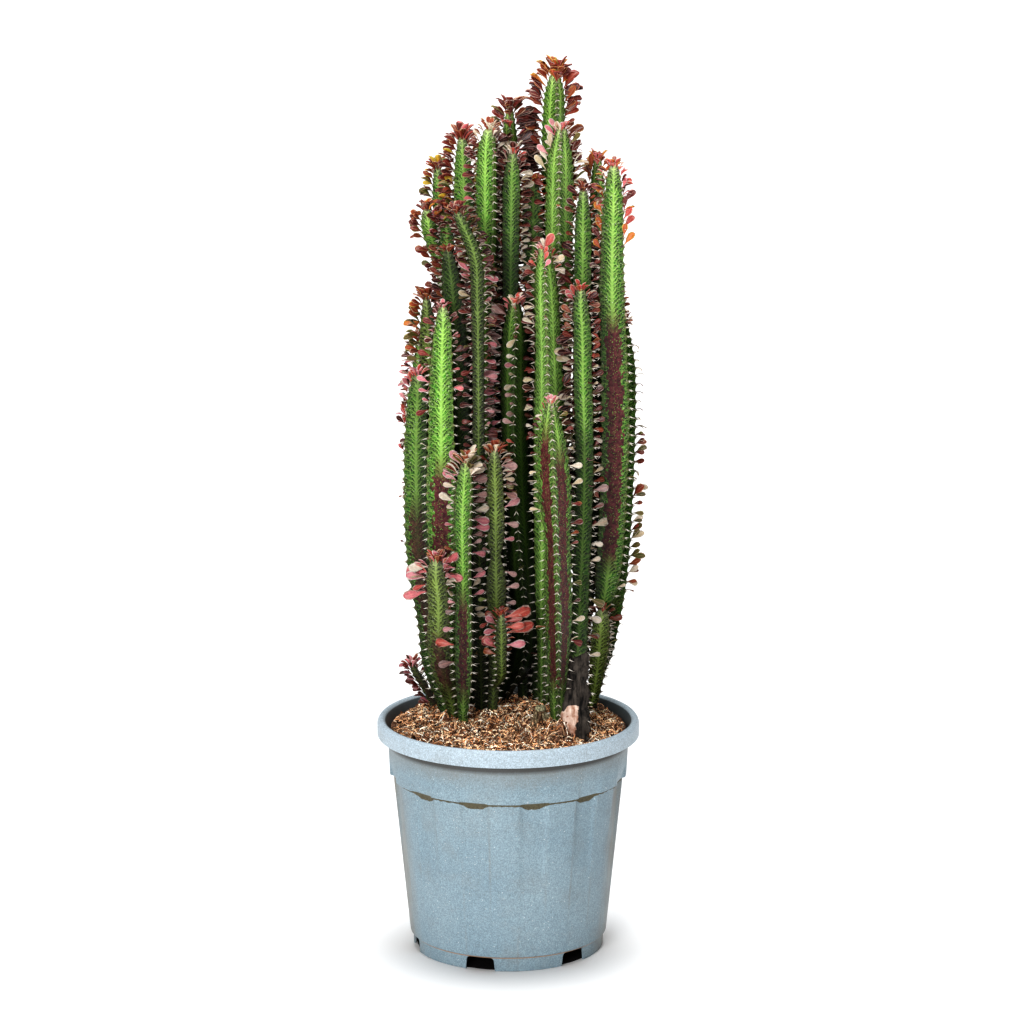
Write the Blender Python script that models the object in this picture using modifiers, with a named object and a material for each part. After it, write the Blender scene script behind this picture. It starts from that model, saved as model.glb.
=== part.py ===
"""Potted euphorbia: a moulded grower's pot full of bark mix and a clump of three-ridged upright stems.

Metres, +Z up. The origin is the middle of the pot's foot ring, on the ground, and the front is -Y.
"""

import math

import bmesh
import bpy
from mathutils import Matrix

MM = 0.001

# Pot, in millimetres: radii and heights of the turned wall
RIM_RADIUS = 170.0
RIM_TOP = 305.5
RIM_CROWN_INSIDE = 161.5
RIM_CROWN_OUTSIDE = 166.5
RIM_THICKNESS = 8.0
LIP_HEIGHT = 22.0
COLLAR_TOP_RADIUS = 156.5
COLLAR_FOOT_RADIUS = 153.5
COLLAR_FOOT = 235.0
BODY_TOP = 222.0
BODY_TOP_RADIUS = 149.0
BODY_FOOT = 19.0
BODY_FOOT_RADIUS = 128.0
FOOT_RING_RADIUS = 123.5
WALL = 3.0
FLOOR_UNDERSIDE = 12.0
POT_STEPS = 60

# Pot: the shallow flutes of the wall and the drain slots of the foot ring
FLUTES = 12
FLUTE_DEPTH = 5.0
FLUTE_FADE = 60.0
FLUTE_HALF_ANGLE = 7.5
SLOTS = 6
SLOT_WIDTH = 36.0
SLOT_HEIGHT = 18.5
SLOT_SPLAY = 1.12
SLOT_LENGTH = 40.0
SLOT_REACH_IN = 16.0
FIRST_FLUTE = -107.0

# Bark mix
SOIL_EDGE = 290.0
SOIL_TOP = 300.0
SOIL_STEPS = 48
SOIL_EASE = 1.0
CLEARANCE = 0.35

# Stems: shape of the three-ridged section, and the loft's widest step
RIDGES = 3
SHOULDER_ANGLE = 21.0
SHOULDER_RADIUS = 0.60
RING_STEP = 140.0
SOCKET_EASE = 0.75

# Stems: name, direction of the first ridge in degrees from +X, then from foot to tip
# the stations x, y, z and ridge radius in millimetres
STEMS = [
    ("stem_front_left", -65, [(-56, -24, 280, 7), (-56, -32, 315, 9), (-54, -39, 350, 13),
                              (-53, -49, 420, 16), (-54, -52, 500, 13), (-54, -54, 579, 15),
                              (-52, -56, 630, 13), (-52, -56, 654, 7)]),
    ("stem_low_left", 80, [(-68, 12, 280, 7), (-73, -4, 327, 10), (-79, -18, 357, 15),
                           (-87, -30, 402, 17), (-88, -38, 470, 16), (-91, -38, 505, 14),
                           (-91, -38, 523, 8)]),
    ("stem_outer_left", 90, [(-78, 37, 280, 7), (-86, 34, 324, 12), (-96, 33, 364, 17),
                             (-102, 29, 425, 18), (-114, 30, 505, 19), (-118, 30, 604, 19),
                             (-118, 30, 684, 17), (-116, 30, 734, 13), (-115, 30, 752, 7)]),
    ("stem_left", 90, [(-58, 35, 280, 7), (-70, 22, 352, 12), (-81, 8, 459, 19), (-85, 4, 539, 21),
                       (-86, 2, 619, 22), (-86, 2, 699, 19), (-85, 2, 778, 16), (-83, 2, 821, 12),
                       (-83, 2, 844, 6)]),
    ("stem_left_inner", 90, [(-44, 60, 280, 7), (-49, 53, 340, 13), (-56, 42, 425, 13),
                             (-61, 38, 584, 16), (-63, 36, 704, 16), (-68, 35, 818, 15),
                             (-74, 35, 885, 12), (-77, 35, 911, 6)]),
    ("stem_middle", 90, [(-22, 8, 280, 7), (-18, -5, 367, 9), (-16, -16, 438, 12), (-16, -22, 506, 13),
                         (-16, -24, 524, 8), (-16, -24, 539, 11), (-16, -25, 598, 13),
                         (-17, -25, 644, 10), (-17, -25, 663, 5)]),
    ("stem_centre", -90, [(-16, 84, 280, 7), (-4, 75, 319, 14), (9, 65, 342, 19), (19, 52, 374, 20),
                          (21, 35, 426, 20), (17, 22, 496, 20), (11, 10, 590, 20), (8, 5, 684, 20),
                          (8, 5, 775, 20), (9, 5, 819, 16), (9, 5, 849, 7)]),
    ("stem_front_tall", -90, [(46, 42, 280, 7), (48, 22, 377, 12), (49, 8, 460, 16), (51, 2, 540, 20),
                              (53, -2, 620, 23), (52, -5, 699, 23), (51, -7, 777, 20), (49, -8, 840, 18),
                              (47, -8, 885, 15), (45, -8, 921, 7)]),
    ("trunk_right", 90, [(79, -64, 280, 13), (82, -64, 312, 15), (86, -58, 335, 17), (87, -52, 367, 15),
                         (90, -38, 419, 14), (93, -17, 493, 13), (96, -10, 571, 13), (97, -10, 675, 14),
                         (95, -10, 753, 14), (94, -10, 817, 13), (92, -10, 849, 11), (92, -10, 868, 6)]),
    ("stem_right", 90, [(106, 84, 280, 7), (114, 77, 319, 9), (118, 66, 356, 13), (121, 52, 397, 14),
                        (122, 44, 420, 12), (123, 41, 435, 7), (124, 38, 449, 12), (127, 33, 475, 18),
                        (131, 24, 522, 20), (134, 12, 590, 20), (136, 4, 657, 21), (136, 0, 723, 21),
                        (134, 0, 787, 20), (132, 0, 852, 19), (132, 0, 916, 17), (133, 0, 980, 14),
                        (133, 0, 1006, 11), (133, 0, 1024, 6)]),
    ("stem_outer_right", 75, [(100, 96, 280, 7), (109, 94, 313, 7), (128, 91, 364, 12),
                              (136, 81, 408, 13), (142, 72, 457, 16), (146, 64, 513, 17),
                              (149, 55, 581, 17), (151, 48, 649, 17), (152, 44, 716, 17),
                              (151, 41, 769, 16), (149, 40, 797, 12), (149, 40, 818, 6)]),
    ("stem_right_inner", 90, [(88, 66, 280, 7), (93, 60, 340, 11), (102, 48, 450, 11),
                              (109, 43, 584, 12), (114, 40, 716, 12), (116, 39, 807, 13),
                              (118, 38, 898, 11), (119, 38, 927, 6)]),
    ("stem_right_back", -90, [(80, 92, 280, 7), (82, 86, 340, 11), (98, 78, 450, 11), (107, 72, 644, 12),
                              (111, 69, 803, 12), (113, 68, 919, 12), (114, 68, 997, 10),
                              (114, 68, 1025, 5)]),
    ("stem_top_broad", -90, [(62, 64, 280, 7), (63, 58, 340, 13), (65, 42, 518, 13), (67, 37, 743, 17),
                             (67, 36, 846, 20), (65, 36, 911, 21), (65, 36, 975, 21), (66, 36, 1032, 17),
                             (68, 36, 1066, 7)]),
    ("stem_top_slim", 90, [(38, 90, 280, 7), (40, 82, 340, 10), (41, 77, 402, 10), (34, 65, 580, 12),
                           (33, 61, 842, 14), (32, 60, 933, 15), (32, 60, 972, 14), (32, 60, 996, 6)]),
    ("stem_inner", 90, [(20, 96, 280, 7), (19, 89, 340, 9), (17, 81, 402, 9), (5, 62, 583, 10),
                        (3, 47, 845, 12), (4, 47, 948, 13), (5, 46, 1006, 12), (6, 46, 1034, 6)]),
    ("stem_top_left", -68, [(-34, 89, 280, 7), (-32, 84, 340, 11), (-26, 68, 513, 11),
                            (-25, 54, 714, 13), (-25, 43, 845, 14), (-24, 33, 944, 17),
                            (-24, 28, 1015, 17), (-24, 28, 1045, 14), (-23, 28, 1067, 7)]),
    ("stem_back_slim", -90, [(-8, 110, 280, 7), (-6, 104, 340, 11), (0, 88, 505, 10), (2, 79, 709, 10),
                             (2, 77, 970, 11), (2, 76, 1053, 11), (2, 76, 1086, 5)]),
    ("stem_tallest", -80, [(56, 102, 280, 7), (58, 97, 340, 10), (58, 89, 505, 12), (58, 80, 709, 12),
                           (59, 77, 970, 17), (59, 76, 1072, 17), (60, 76, 1110, 14),
                           (60, 76, 1131, 7)]),
    ("stem_upper_left", 90, [(-50, 92, 280, 7), (-51, 88, 340, 11), (-54, 74, 577, 11),
                             (-55, 72, 841, 13), (-57, 70, 984, 15), (-58, 70, 1022, 12),
                             (-59, 70, 1050, 6)]),
    ("stem_leaning", 90, [(-34, 22, 280, 7), (-35, 17, 340, 11), (-37, 1, 528, 10), (-38, -2, 788, 9),
                          (-39, -2, 852, 10), (-42, -2, 906, 10), (-50, -2, 932, 10), (-58, -2, 949, 9),
                          (-65, -2, 966, 5)]),
    ("stem_far_left", 90, [(-72, 106, 280, 7), (-72, 106, 340, 10), (-74, 100, 572, 10),
                           (-79, 94, 838, 10), (-84, 88, 875, 11), (-91, 80, 903, 12),
                           (-98, 71, 923, 12), (-102, 63, 943, 11), (-104, 58, 961, 5)]),
    ("stem_left_low", 90, [(-76, 68, 280, 7), (-80, 66, 340, 11), (-90, 59, 515, 11),
                           (-100, 62, 712, 11), (-104, 62, 816, 11), (-105, 62, 845, 5)]),
    ("shoot_far_left", 90, [(-92, 72, 280, 4), (-99, 71, 306, 6), (-109, 70, 326, 7), (-120, 69, 345, 7),
                            (-127, 67, 359, 4)]),
    ("stem_rear_left", 30, [(-40, 114, 280, 7), (-41, 113, 340, 12), (-42, 112, 505, 12),
                            (-42, 110, 803, 14), (-44, 108, 953, 13), (-45, 107, 988, 6)]),
    ("stem_rear_centre", -30, [(-14, 124, 280, 7), (-14, 122, 340, 12), (-14, 118, 505, 12),
                               (-13, 118, 803, 14), (-12, 116, 988, 13), (-12, 116, 1025, 6)]),
    ("stem_rear_slim", 10, [(26, 110, 280, 7), (28, 108, 340, 11), (32, 104, 505, 12),
                            (32, 102, 803, 12), (31, 101, 933, 11), (31, 100, 965, 5)]),
    ("stem_rear_tall", 50, [(64, 120, 280, 7), (66, 120, 340, 12), (67, 118, 505, 13),
                            (68, 118, 803, 15), (66, 117, 1003, 14), (65, 116, 1040, 6)]),
    ("stem_rear_right", 20, [(84, 106, 280, 7), (89, 107, 340, 12), (102, 110, 505, 12),
                             (104, 110, 754, 14), (103, 108, 873, 12), (103, 108, 905, 6)]),
    ("stem_rear_low", 40, [(-90, 90, 280, 7), (-96, 92, 340, 11), (-106, 96, 455, 12),
                           (-112, 100, 624, 14), (-113, 100, 754, 12), (-113, 100, 787, 6)]),
    ("stem_far_left_back", 90, [(-54, 122, 280, 7), (-60, 124, 340, 10), (-72, 128, 568, 11),
                                (-82, 123, 834, 10), (-88, 116, 946, 10), (-90, 114, 981, 9),
                                (-91, 113, 1007, 5)]),
]

# Branches: as the stems, with the stem that each one grows from
BRANCHES = [
    ("branch_front", -90, "trunk_right",
     [(76, -61, 352, 4), (66, -69, 372, 9), (64, -75, 398, 16), (64, -79, 453, 20), (63, -78, 512, 20),
      (62, -76, 556, 19), (60, -74, 595, 23), (57, -72, 646, 24), (55, -70, 685, 20), (54, -68, 713, 12),
      (54, -68, 734, 5)]),
    ("branch_right", 90, "trunk_right",
     [(93, -14, 475, 4), (88, 8, 501, 8), (86, 20, 539, 11), (91, 20, 695, 12), (94, 19, 824, 13),
      (95, 19, 902, 13), (95, 19, 959, 11), (95, 19, 991, 5)]),
    ("branch_upper_left", 90, "stem_upper_left",
     [(-55, 74, 564, 4), (-68, 76, 594, 7), (-73, 72, 644, 9), (-77, 63, 841, 9), (-79, 62, 939, 9),
      (-80, 62, 960, 5)]),
    ("branch_rear_outer", 60, "stem_rear_right",
     [(98, 109, 430, 4), (112, 112, 456, 9), (126, 108, 500, 12), (134, 102, 564, 13), (138, 92, 764, 13),
      (138, 90, 831, 11), (138, 90, 861, 5)]),
    ("shoot_middle", 90, "stem_middle",
     [(-17, -4, 337, 3), (-11, -23, 360, 6), (-9, -40, 400, 8), (-9, -43, 432, 8), (-9, -43, 454, 4)]),
]

# Leaf crowns: stem, how far the leaves reach out and up, in millimetres
CROWNS = [
    ("stem_tallest", 24, 24),
    ("stem_back_slim", 22, 22),
    ("stem_upper_left", 24, 22),
    ("stem_far_left_back", 18, 20),
    ("stem_leaning", 18, 18),
    ("stem_far_left", 20, 20),
    ("stem_top_broad", 18, 14),
    ("stem_right", 20, 14),
    ("stem_right_back", 18, 16),
    ("branch_right", 16, 16),
    ("stem_outer_right", 16, 14),
    ("stem_centre", 18, 16),
    ("stem_left_low", 18, 18),
    ("stem_outer_left", 18, 14),
    ("stem_front_left", 24, 20),
    ("stem_middle", 20, 18),
    ("stem_low_left", 22, 18),
    ("shoot_middle", 14, 14),
    ("shoot_far_left", 18, 18),
    ("stem_rear_tall", 20, 18),
]
CROWN_CORE = 4.0
CROWN_LEAVES = 8

# Old woody stub beside the trunk: radius and height down its outer side
STUB_AT = (42, -38)
STUB_PROFILE = [(8, 322), (13, 316), (13, 306), (10, 300), (12, 292), (9, 282)]


# ---------------------------------------------------------------- scene, materials and small helpers

def clear_scene():
    for item in list(bpy.data.objects):
        bpy.data.objects.remove(item, do_unlink=True)


def new_collection(name):
    group = bpy.data.collections.new(name)
    bpy.context.scene.collection.children.link(group)
    return group


def make_material(name, colour, roughness):
    material = bpy.data.materials.new(name)
    material.use_nodes = True
    shader = material.node_tree.nodes["Principled BSDF"]
    shader.inputs["Base Color"].default_value = (*colour, 1.0)
    shader.inputs["Roughness"].default_value = roughness
    shader.inputs["Metallic"].default_value = 0.0
    return material


def pot_plastic():
    return make_material("pot_plastic", (0.28, 0.40, 0.47), 0.5)


def bark_mix():
    return make_material("bark_mix", (0.27, 0.13, 0.07), 0.95)


def stem_skin():
    return make_material("stem_skin", (0.10, 0.27, 0.06), 0.55)


def trunk_wood():
    return make_material("trunk_wood", (0.20, 0.15, 0.11), 0.9)


def leaf_skin():
    return make_material("leaf_skin", (0.25, 0.05, 0.05), 0.5)


def add_mesh_object(name, bm, group, material=None):
    mesh = bpy.data.meshes.new(name)
    bm.to_mesh(mesh)
    bm.free()
    item = bpy.data.objects.new(name, mesh)
    group.objects.link(item)
    if material is not None:
        mesh.materials.append(material)
    return item


def mark_as_cutter(item):
    item.hide_render = True
    item.display_type = "WIRE"
    return item


def cut(item, cutter):
    modifier = item.modifiers.new(f"cut_{cutter.name}", "BOOLEAN")
    modifier.operation = "DIFFERENCE"
    modifier.object = cutter


def turned(name, profile, steps, group, material=None):
    """A closed body turned about Z from (radius, height) points in mm, with its Screw applied."""
    bm = bmesh.new()
    points = [bm.verts.new((radius * MM, 0.0, height * MM)) for radius, height in profile]
    for upper, lower in zip(points, points[1:]):
        bm.edges.new((upper, lower))
    item = add_mesh_object(name, bm, group, material)
    screw = item.modifiers.new("turn", "SCREW")
    screw.steps = steps
    screw.render_steps = steps
    screw.use_merge_vertices = True
    screw.merge_threshold = 0.00001
    bpy.context.view_layer.update()
    evaluated = item.evaluated_get(bpy.context.evaluated_depsgraph_get())
    turned_mesh = bpy.data.meshes.new_from_object(evaluated)
    item.modifiers.clear()
    item.data = turned_mesh
    return item


# ---------------------------------------------------------------- pot

def body_radius(height):
    """Outer radius of the tapered wall below the collar."""
    slope = (BODY_TOP_RADIUS - BODY_FOOT_RADIUS) / (BODY_TOP - BODY_FOOT)
    return BODY_FOOT_RADIUS + slope * (height - BODY_FOOT)


def collar_radius(height):
    """Outer radius of the collar, which ends under the rim's lip."""
    slope = (COLLAR_TOP_RADIUS - COLLAR_FOOT_RADIUS) / (RIM_TOP - LIP_HEIGHT - COLLAR_FOOT)
    return COLLAR_FOOT_RADIUS + slope * (height - COLLAR_FOOT)


def pot_profile():
    """Up the inner wall from the middle of the floor, over the rim, and down the outer wall to the recess."""
    lip_foot = RIM_TOP - LIP_HEIGHT
    lip_roof = RIM_TOP - RIM_THICKNESS
    foot_inside = FOOT_RING_RADIUS - WALL
    floor_top = FLOOR_UNDERSIDE + WALL
    middle = 0.5 * (FLUTE_FADE + BODY_TOP)
    inside = [
        (0.0, floor_top),
        (foot_inside - 2.0, floor_top),
        (BODY_FOOT_RADIUS - WALL, BODY_FOOT + 2.0 * WALL),
        (body_radius(FLUTE_FADE) - WALL, FLUTE_FADE),
        (body_radius(middle) - WALL, middle),
        (BODY_TOP_RADIUS - WALL, BODY_TOP - 2.0),
        (COLLAR_FOOT_RADIUS - WALL, COLLAR_FOOT),
        (COLLAR_TOP_RADIUS - WALL, lip_foot),
    ]
    rim = [
        (RIM_CROWN_INSIDE - 2.5, RIM_TOP - 3.0),
        (RIM_CROWN_INSIDE, RIM_TOP),
        (RIM_CROWN_OUTSIDE, RIM_TOP),
        (RIM_RADIUS, RIM_TOP - 4.0),
        (RIM_RADIUS, lip_foot),
        (RIM_RADIUS - WALL, lip_foot),
        (RIM_RADIUS - WALL, lip_roof),
        (COLLAR_TOP_RADIUS + 1.0, lip_roof),
    ]
    outside = [
        (COLLAR_FOOT_RADIUS, COLLAR_FOOT),
        (BODY_TOP_RADIUS, BODY_TOP),
        (body_radius(middle), middle),
        (body_radius(FLUTE_FADE), FLUTE_FADE),
        (BODY_FOOT_RADIUS, BODY_FOOT),
        (FOOT_RING_RADIUS + 1.0, BODY_FOOT - 1.0),
        (FOOT_RING_RADIUS, 0.0),
        (foot_inside, 0.0),
        (foot_inside, FLOOR_UNDERSIDE),
        (0.0, FLOOR_UNDERSIDE),
    ]
    return inside + rim + outside


def press_flutes(mesh):
    """Push both faces of the wall in at each flute, deepest under the collar and gone near the foot."""
    pitch = 360.0 / FLUTES
    for vertex in mesh.vertices:
        height = vertex.co.z / MM
        radius = math.hypot(vertex.co.x, vertex.co.y)
        if not FLUTE_FADE < height < BODY_TOP + 1.0 or radius < 0.5 * FOOT_RING_RADIUS * MM:
            continue
        azimuth = math.degrees(math.atan2(vertex.co.y, vertex.co.x))
        off_centre = abs((azimuth - FIRST_FLUTE + pitch / 2) % pitch - pitch / 2)
        if off_centre > FLUTE_HALF_ANGLE:
            continue
        depth = FLUTE_DEPTH * MM * (height - FLUTE_FADE) / (BODY_TOP - FLUTE_FADE)
        vertex.co.x *= 1.0 - depth / radius
        vertex.co.y *= 1.0 - depth / radius


def slot_cutter(index, cutters):
    """A splayed box through the foot ring and the edge of the floor."""
    bm = bmesh.new()
    bmesh.ops.create_cube(bm, size=1.0)
    for vertex in bm.verts:
        splay = SLOT_SPLAY if vertex.co.z < 0 else 1.0
        vertex.co.x = (FOOT_RING_RADIUS - SLOT_REACH_IN + (vertex.co.x + 0.5) * SLOT_LENGTH) * MM
        vertex.co.y *= SLOT_WIDTH * splay * MM
        vertex.co.z = (SLOT_HEIGHT if vertex.co.z > 0 else -5.0) * MM
    cutter = mark_as_cutter(add_mesh_object(f"slot_cutter_{index}", bm, cutters))
    cutter.rotation_euler.z = math.radians(FIRST_FLUTE + index * 360.0 / SLOTS)
    return cutter


def make_pot(parts, cutters):
    pot = turned("pot", pot_profile(), POT_STEPS, parts, pot_plastic())
    # the turned wall's facets are lined up so that a corner runs down the middle of every flute
    facet = 360.0 / POT_STEPS
    pot.data.transform(Matrix.Rotation(math.radians(FIRST_FLUTE % facet), 4, "Z"))
    press_flutes(pot.data)
    pot.data.shade_smooth()
    pot.data.set_sharp_from_angle(angle=math.radians(25))
    for index in range(SLOTS):
        cut(pot, slot_cutter(index, cutters))
    return pot


# ---------------------------------------------------------------- bark mix

def make_soil(parts):
    """One body that fills the pot from the floor up, domed on top and clear of the pressed flutes."""
    floor = FLOOR_UNDERSIDE + WALL + CLEARANCE
    inside = WALL + SOIL_EASE
    profile = [
        (0.0, SOIL_TOP),
        (50.0, SOIL_TOP - 1.0),
        (105.0, SOIL_TOP - 5.0),
        (collar_radius(SOIL_EDGE) - inside, SOIL_EDGE),
        (COLLAR_FOOT_RADIUS - inside, COLLAR_FOOT + 1.0),
        (BODY_TOP_RADIUS - inside - FLUTE_DEPTH - 0.5, BODY_TOP - 3.0),
        (body_radius(FLUTE_FADE) - inside, FLUTE_FADE),
        (FOOT_RING_RADIUS - 2.0 * WALL, floor),
        (0.0, floor),
    ]
    return turned("soil", profile, SOIL_STEPS, parts, bark_mix())


# ---------------------------------------------------------------- stems

def between(before, start, end, after, t):
    """A smooth Catmull-Rom value, a share t of the way from start to end."""
    return 0.5 * (2 * start + (end - before) * t
                  + (2 * before - 5 * start + 4 * end - after) * t * t
                  + (3 * start - before - 3 * end + after) * t * t * t)


def smooth_stations(stations):
    """Rings of (x, y, z, radius) along a smooth curve, at the stations and between them."""
    rings = []
    last = len(stations) - 1
    for index in range(last):
        before = stations[max(index - 1, 0)]
        start = stations[index]
        end = stations[index + 1]
        after = stations[min(index + 2, last)]
        rise = end[2] - start[2]
        pieces = max(1, math.ceil(rise / RING_STEP))
        for piece in range(pieces):
            t = piece / pieces
            x, y, _, radius = (between(*values, t) for values in zip(before, start, end, after))
            # the height goes up in even steps, so that no ring crosses the next
            rings.append((x, y, start[2] + rise * t, radius))
    rings.append(stations[-1])
    return rings


def ring_points(ring, ridge_angle, ease):
    """The three-ridged outline at one height: each ridge is a crest between two shoulders."""
    x, y, z, radius = ring
    outline = ((-SHOULDER_ANGLE, SHOULDER_RADIUS), (0.0, 1.0), (SHOULDER_ANGLE, SHOULDER_RADIUS))
    for ridge in range(RIDGES):
        crest = ridge_angle + 360.0 / RIDGES * ridge
        for turn, share in outline:
            angle = math.radians(crest + turn)
            reach = (radius + ease) * share
            yield ((x + reach * math.cos(angle)) * MM, (y + reach * math.sin(angle)) * MM, z * MM)


def loft_stem(name, ridge_angle, stations, group, material=None, ease=0.0):
    """One closed stem: a loft of level three-ridged rings, capped flat at the foot and the tip."""
    bm = bmesh.new()
    loops = []
    for ring in smooth_stations(stations):
        loops.append([bm.verts.new(point) for point in ring_points(ring, ridge_angle, ease)])
    for lower, upper in zip(loops, loops[1:]):
        for index in range(len(lower)):
            following = (index + 1) % len(lower)
            bm.faces.new((lower[index], lower[following], upper[following], upper[index]))
    bm.faces.new(list(reversed(loops[0])))
    bm.faces.new(loops[-1])
    return add_mesh_object(name, bm, group, material)


def make_stems(parts, cutters, soil):
    skin = stem_skin()
    shapes = {}
    for name, ridge_angle, stations in STEMS:
        loft_stem(name, ridge_angle, stations, parts, skin)
        shapes[name] = (ridge_angle, stations)
        foot = stations[0]
        below = (foot[0], foot[1], foot[2] - SOCKET_EASE, foot[3])
        buried = [below, *stations[1:4]]
        socket = loft_stem(f"socket_{name}", ridge_angle, buried, cutters, ease=SOCKET_EASE)
        cut(soil, mark_as_cutter(socket))
    for name, ridge_angle, parent, stations in BRANCHES:
        branch = loft_stem(name, ridge_angle, stations, parts, skin)
        shapes[name] = (ridge_angle, stations)
        saddle = loft_stem(f"saddle_{name}", *shapes[parent], cutters, ease=SOCKET_EASE)
        cut(branch, mark_as_cutter(saddle))
    return shapes


# ---------------------------------------------------------------- leaf crowns and the woody stub

def make_crown(stem, tip, reach, rise, group, material):
    """A bud with a ring of spoon-shaped leaves drawn out of its sides, resting on the stem's tip."""
    bm = bmesh.new()
    bmesh.ops.create_cone(bm, cap_ends=True, segments=CROWN_LEAVES, radius1=CROWN_CORE * MM,
                          radius2=CROWN_CORE * 0.8 * MM, depth=2 * CROWN_CORE * MM)
    sides = [face for face in bm.faces if len(face.verts) == 4]
    # each stage draws the leaf on: share of the reach, share of the rise, width and thickness factors
    stages = ((0.65, 0.55, 2.1, 0.4), (0.35, 0.45, 0.3, 0.6))
    for out_share, up_share, widen, thin in stages:
        drawn = bmesh.ops.extrude_discrete_faces(bm, faces=sides)["faces"]
        sides = drawn
        for face in drawn:
            middle = face.calc_center_median()
            out = math.hypot(middle.x, middle.y)
            direction = (middle.x / out, middle.y / out)
            for vertex in face.verts:
                offset = vertex.co - middle
                along = offset.x * -direction[1] + offset.y * direction[0]
                sideways = along * widen
                outward = reach * out_share * MM
                vertex.co.x = middle.x - sideways * direction[1] + outward * direction[0]
                vertex.co.y = middle.y + sideways * direction[0] + outward * direction[1]
                vertex.co.z = middle.z + offset.z * thin + rise * up_share * MM
    crown = add_mesh_object(f"{stem}_leaves", bm, group, material)
    crown.location = (tip[0] * MM, tip[1] * MM, (tip[2] + CROWN_CORE + CLEARANCE) * MM)
    return crown


def make_stub(parts, cutters, soil):
    closed = [(0.0, STUB_PROFILE[0][1] + 2.0), *STUB_PROFILE, (0.0, STUB_PROFILE[-1][1])]
    stub = turned("woody_stub", closed, 12, parts, trunk_wood())
    eased = [(radius + SOCKET_EASE if radius else 0.0, height) for radius, height in closed]
    eased[-2] = (eased[-2][0], eased[-2][1] - SOCKET_EASE)
    eased[-1] = (0.0, eased[-2][1])
    hole = mark_as_cutter(turned("socket_woody_stub", eased, 12, cutters))
    for item in (stub, hole):
        item.location = (STUB_AT[0] * MM, STUB_AT[1] * MM, 0.0)
    cut(soil, hole)


def main():
    clear_scene()
    parts = new_collection("potted_euphorbia")
    cutters = new_collection("cutters")
    make_pot(parts, cutters)
    soil = make_soil(parts)
    shapes = make_stems(parts, cutters, soil)
    make_stub(parts, cutters, soil)
    leaves = leaf_skin()
    for stem, reach, rise in CROWNS:
        make_crown(stem, shapes[stem][1][-1], reach, rise, parts, leaves)


main()
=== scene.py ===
# %% [markdown]
# # A potted euphorbia, dressed around its CAD frame
# The object is a clump of three-ridged succulent stems in a moulded grower's pot. The CAD frame
# says where everything is: the pot's wall, the bark mix, and for each stem a loft of level rings.
# Here every one of those plain solids is replaced by a finely modelled piece in the same place.

# %% Load the frame
import math

import bmesh
import bpy
import numpy as np
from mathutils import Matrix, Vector, noise


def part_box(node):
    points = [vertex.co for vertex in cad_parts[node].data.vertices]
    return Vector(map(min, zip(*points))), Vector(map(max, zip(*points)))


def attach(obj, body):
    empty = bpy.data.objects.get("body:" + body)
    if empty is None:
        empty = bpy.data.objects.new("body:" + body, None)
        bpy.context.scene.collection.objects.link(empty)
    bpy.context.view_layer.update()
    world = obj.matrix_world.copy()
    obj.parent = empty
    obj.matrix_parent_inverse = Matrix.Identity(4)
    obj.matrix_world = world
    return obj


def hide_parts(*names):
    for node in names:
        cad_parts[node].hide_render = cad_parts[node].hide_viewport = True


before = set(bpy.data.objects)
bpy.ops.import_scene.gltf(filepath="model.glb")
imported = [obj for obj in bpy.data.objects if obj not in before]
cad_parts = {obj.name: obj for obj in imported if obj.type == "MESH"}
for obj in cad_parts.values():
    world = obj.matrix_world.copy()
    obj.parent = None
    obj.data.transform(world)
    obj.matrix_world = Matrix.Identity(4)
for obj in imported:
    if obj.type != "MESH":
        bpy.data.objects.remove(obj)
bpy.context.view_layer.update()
MM = 0.001

# %% [markdown]
# ## Camera
# A long lens from almost five metres away keeps the upright stems parallel, as a studio picture
# of a tall plant does. The camera looks down a little, so the mix in the pot shows.

# %% Camera
LENS = 134.7
LOOK_DOWN = 12.21
camera_data = bpy.data.cameras.new("studio_camera")
camera_data.sensor_width = 36.0
camera_data.lens = LENS
camera_data.clip_end = 100.0
camera = bpy.data.objects.new("studio_camera", camera_data)
camera.location = (0.0049, -4.806, 1.617)
camera.rotation_euler = (math.radians(90.0 - LOOK_DOWN), 0.0, 0.0)
bpy.context.scene.collection.objects.link(camera)
bpy.context.scene.camera = camera

# %% [markdown]
# ## Colours, materials and nodes
# Colours are written as sRGB hex and turned to linear by one function. A material is a tree of
# nodes, and one function adds a node, with its settings and its inputs by name or by number. The
# numbers used most: Mix takes its share at 0 and two colours at 6 and 7, and gives the colour at
# output 2; Map Range takes a value at 0, its range at 1 and 2 and the new range at 3 and 4; an
# Attribute gives a colour, a vector or a number at 0, 1 or 2. Object coordinates (output 3) are
# in metres, so a texture of scale 500 has its lumps about two millimetres apart.


# %% Colours and the one node helper
def linear(code):
    """An sRGB hex colour as linear red, green, blue."""
    shares = [int(code[place:place + 2], 16) / 255.0 for place in (0, 2, 4)]
    return tuple(c / 12.92 if c <= 0.04045 else ((c + 0.055) / 1.055) ** 2.4 for c in shares)


def rgba(code):
    return (*linear(code), 1.0)


def add(tree, kind, inputs=None, out=0, **settings):
    """Adds a shader node with its settings, sets or links its inputs, and gives one output."""
    made = tree.nodes.new("ShaderNode" + kind)
    for setting, value in settings.items():
        setattr(made, setting, value)
    for socket, value in (inputs or {}).items():
        if isinstance(value, bpy.types.NodeSocket):
            tree.links.new(value, made.inputs[socket])
        else:
            made.inputs[socket].default_value = value
    return made.outputs[out]


def new_material(name):
    """A material with only its Principled shader, its tree, and where the shader's nodes go."""
    material = bpy.data.materials.new(name)
    material.use_nodes = True
    tree = material.node_tree
    return material, tree, tree.nodes["Principled BSDF"]


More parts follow.
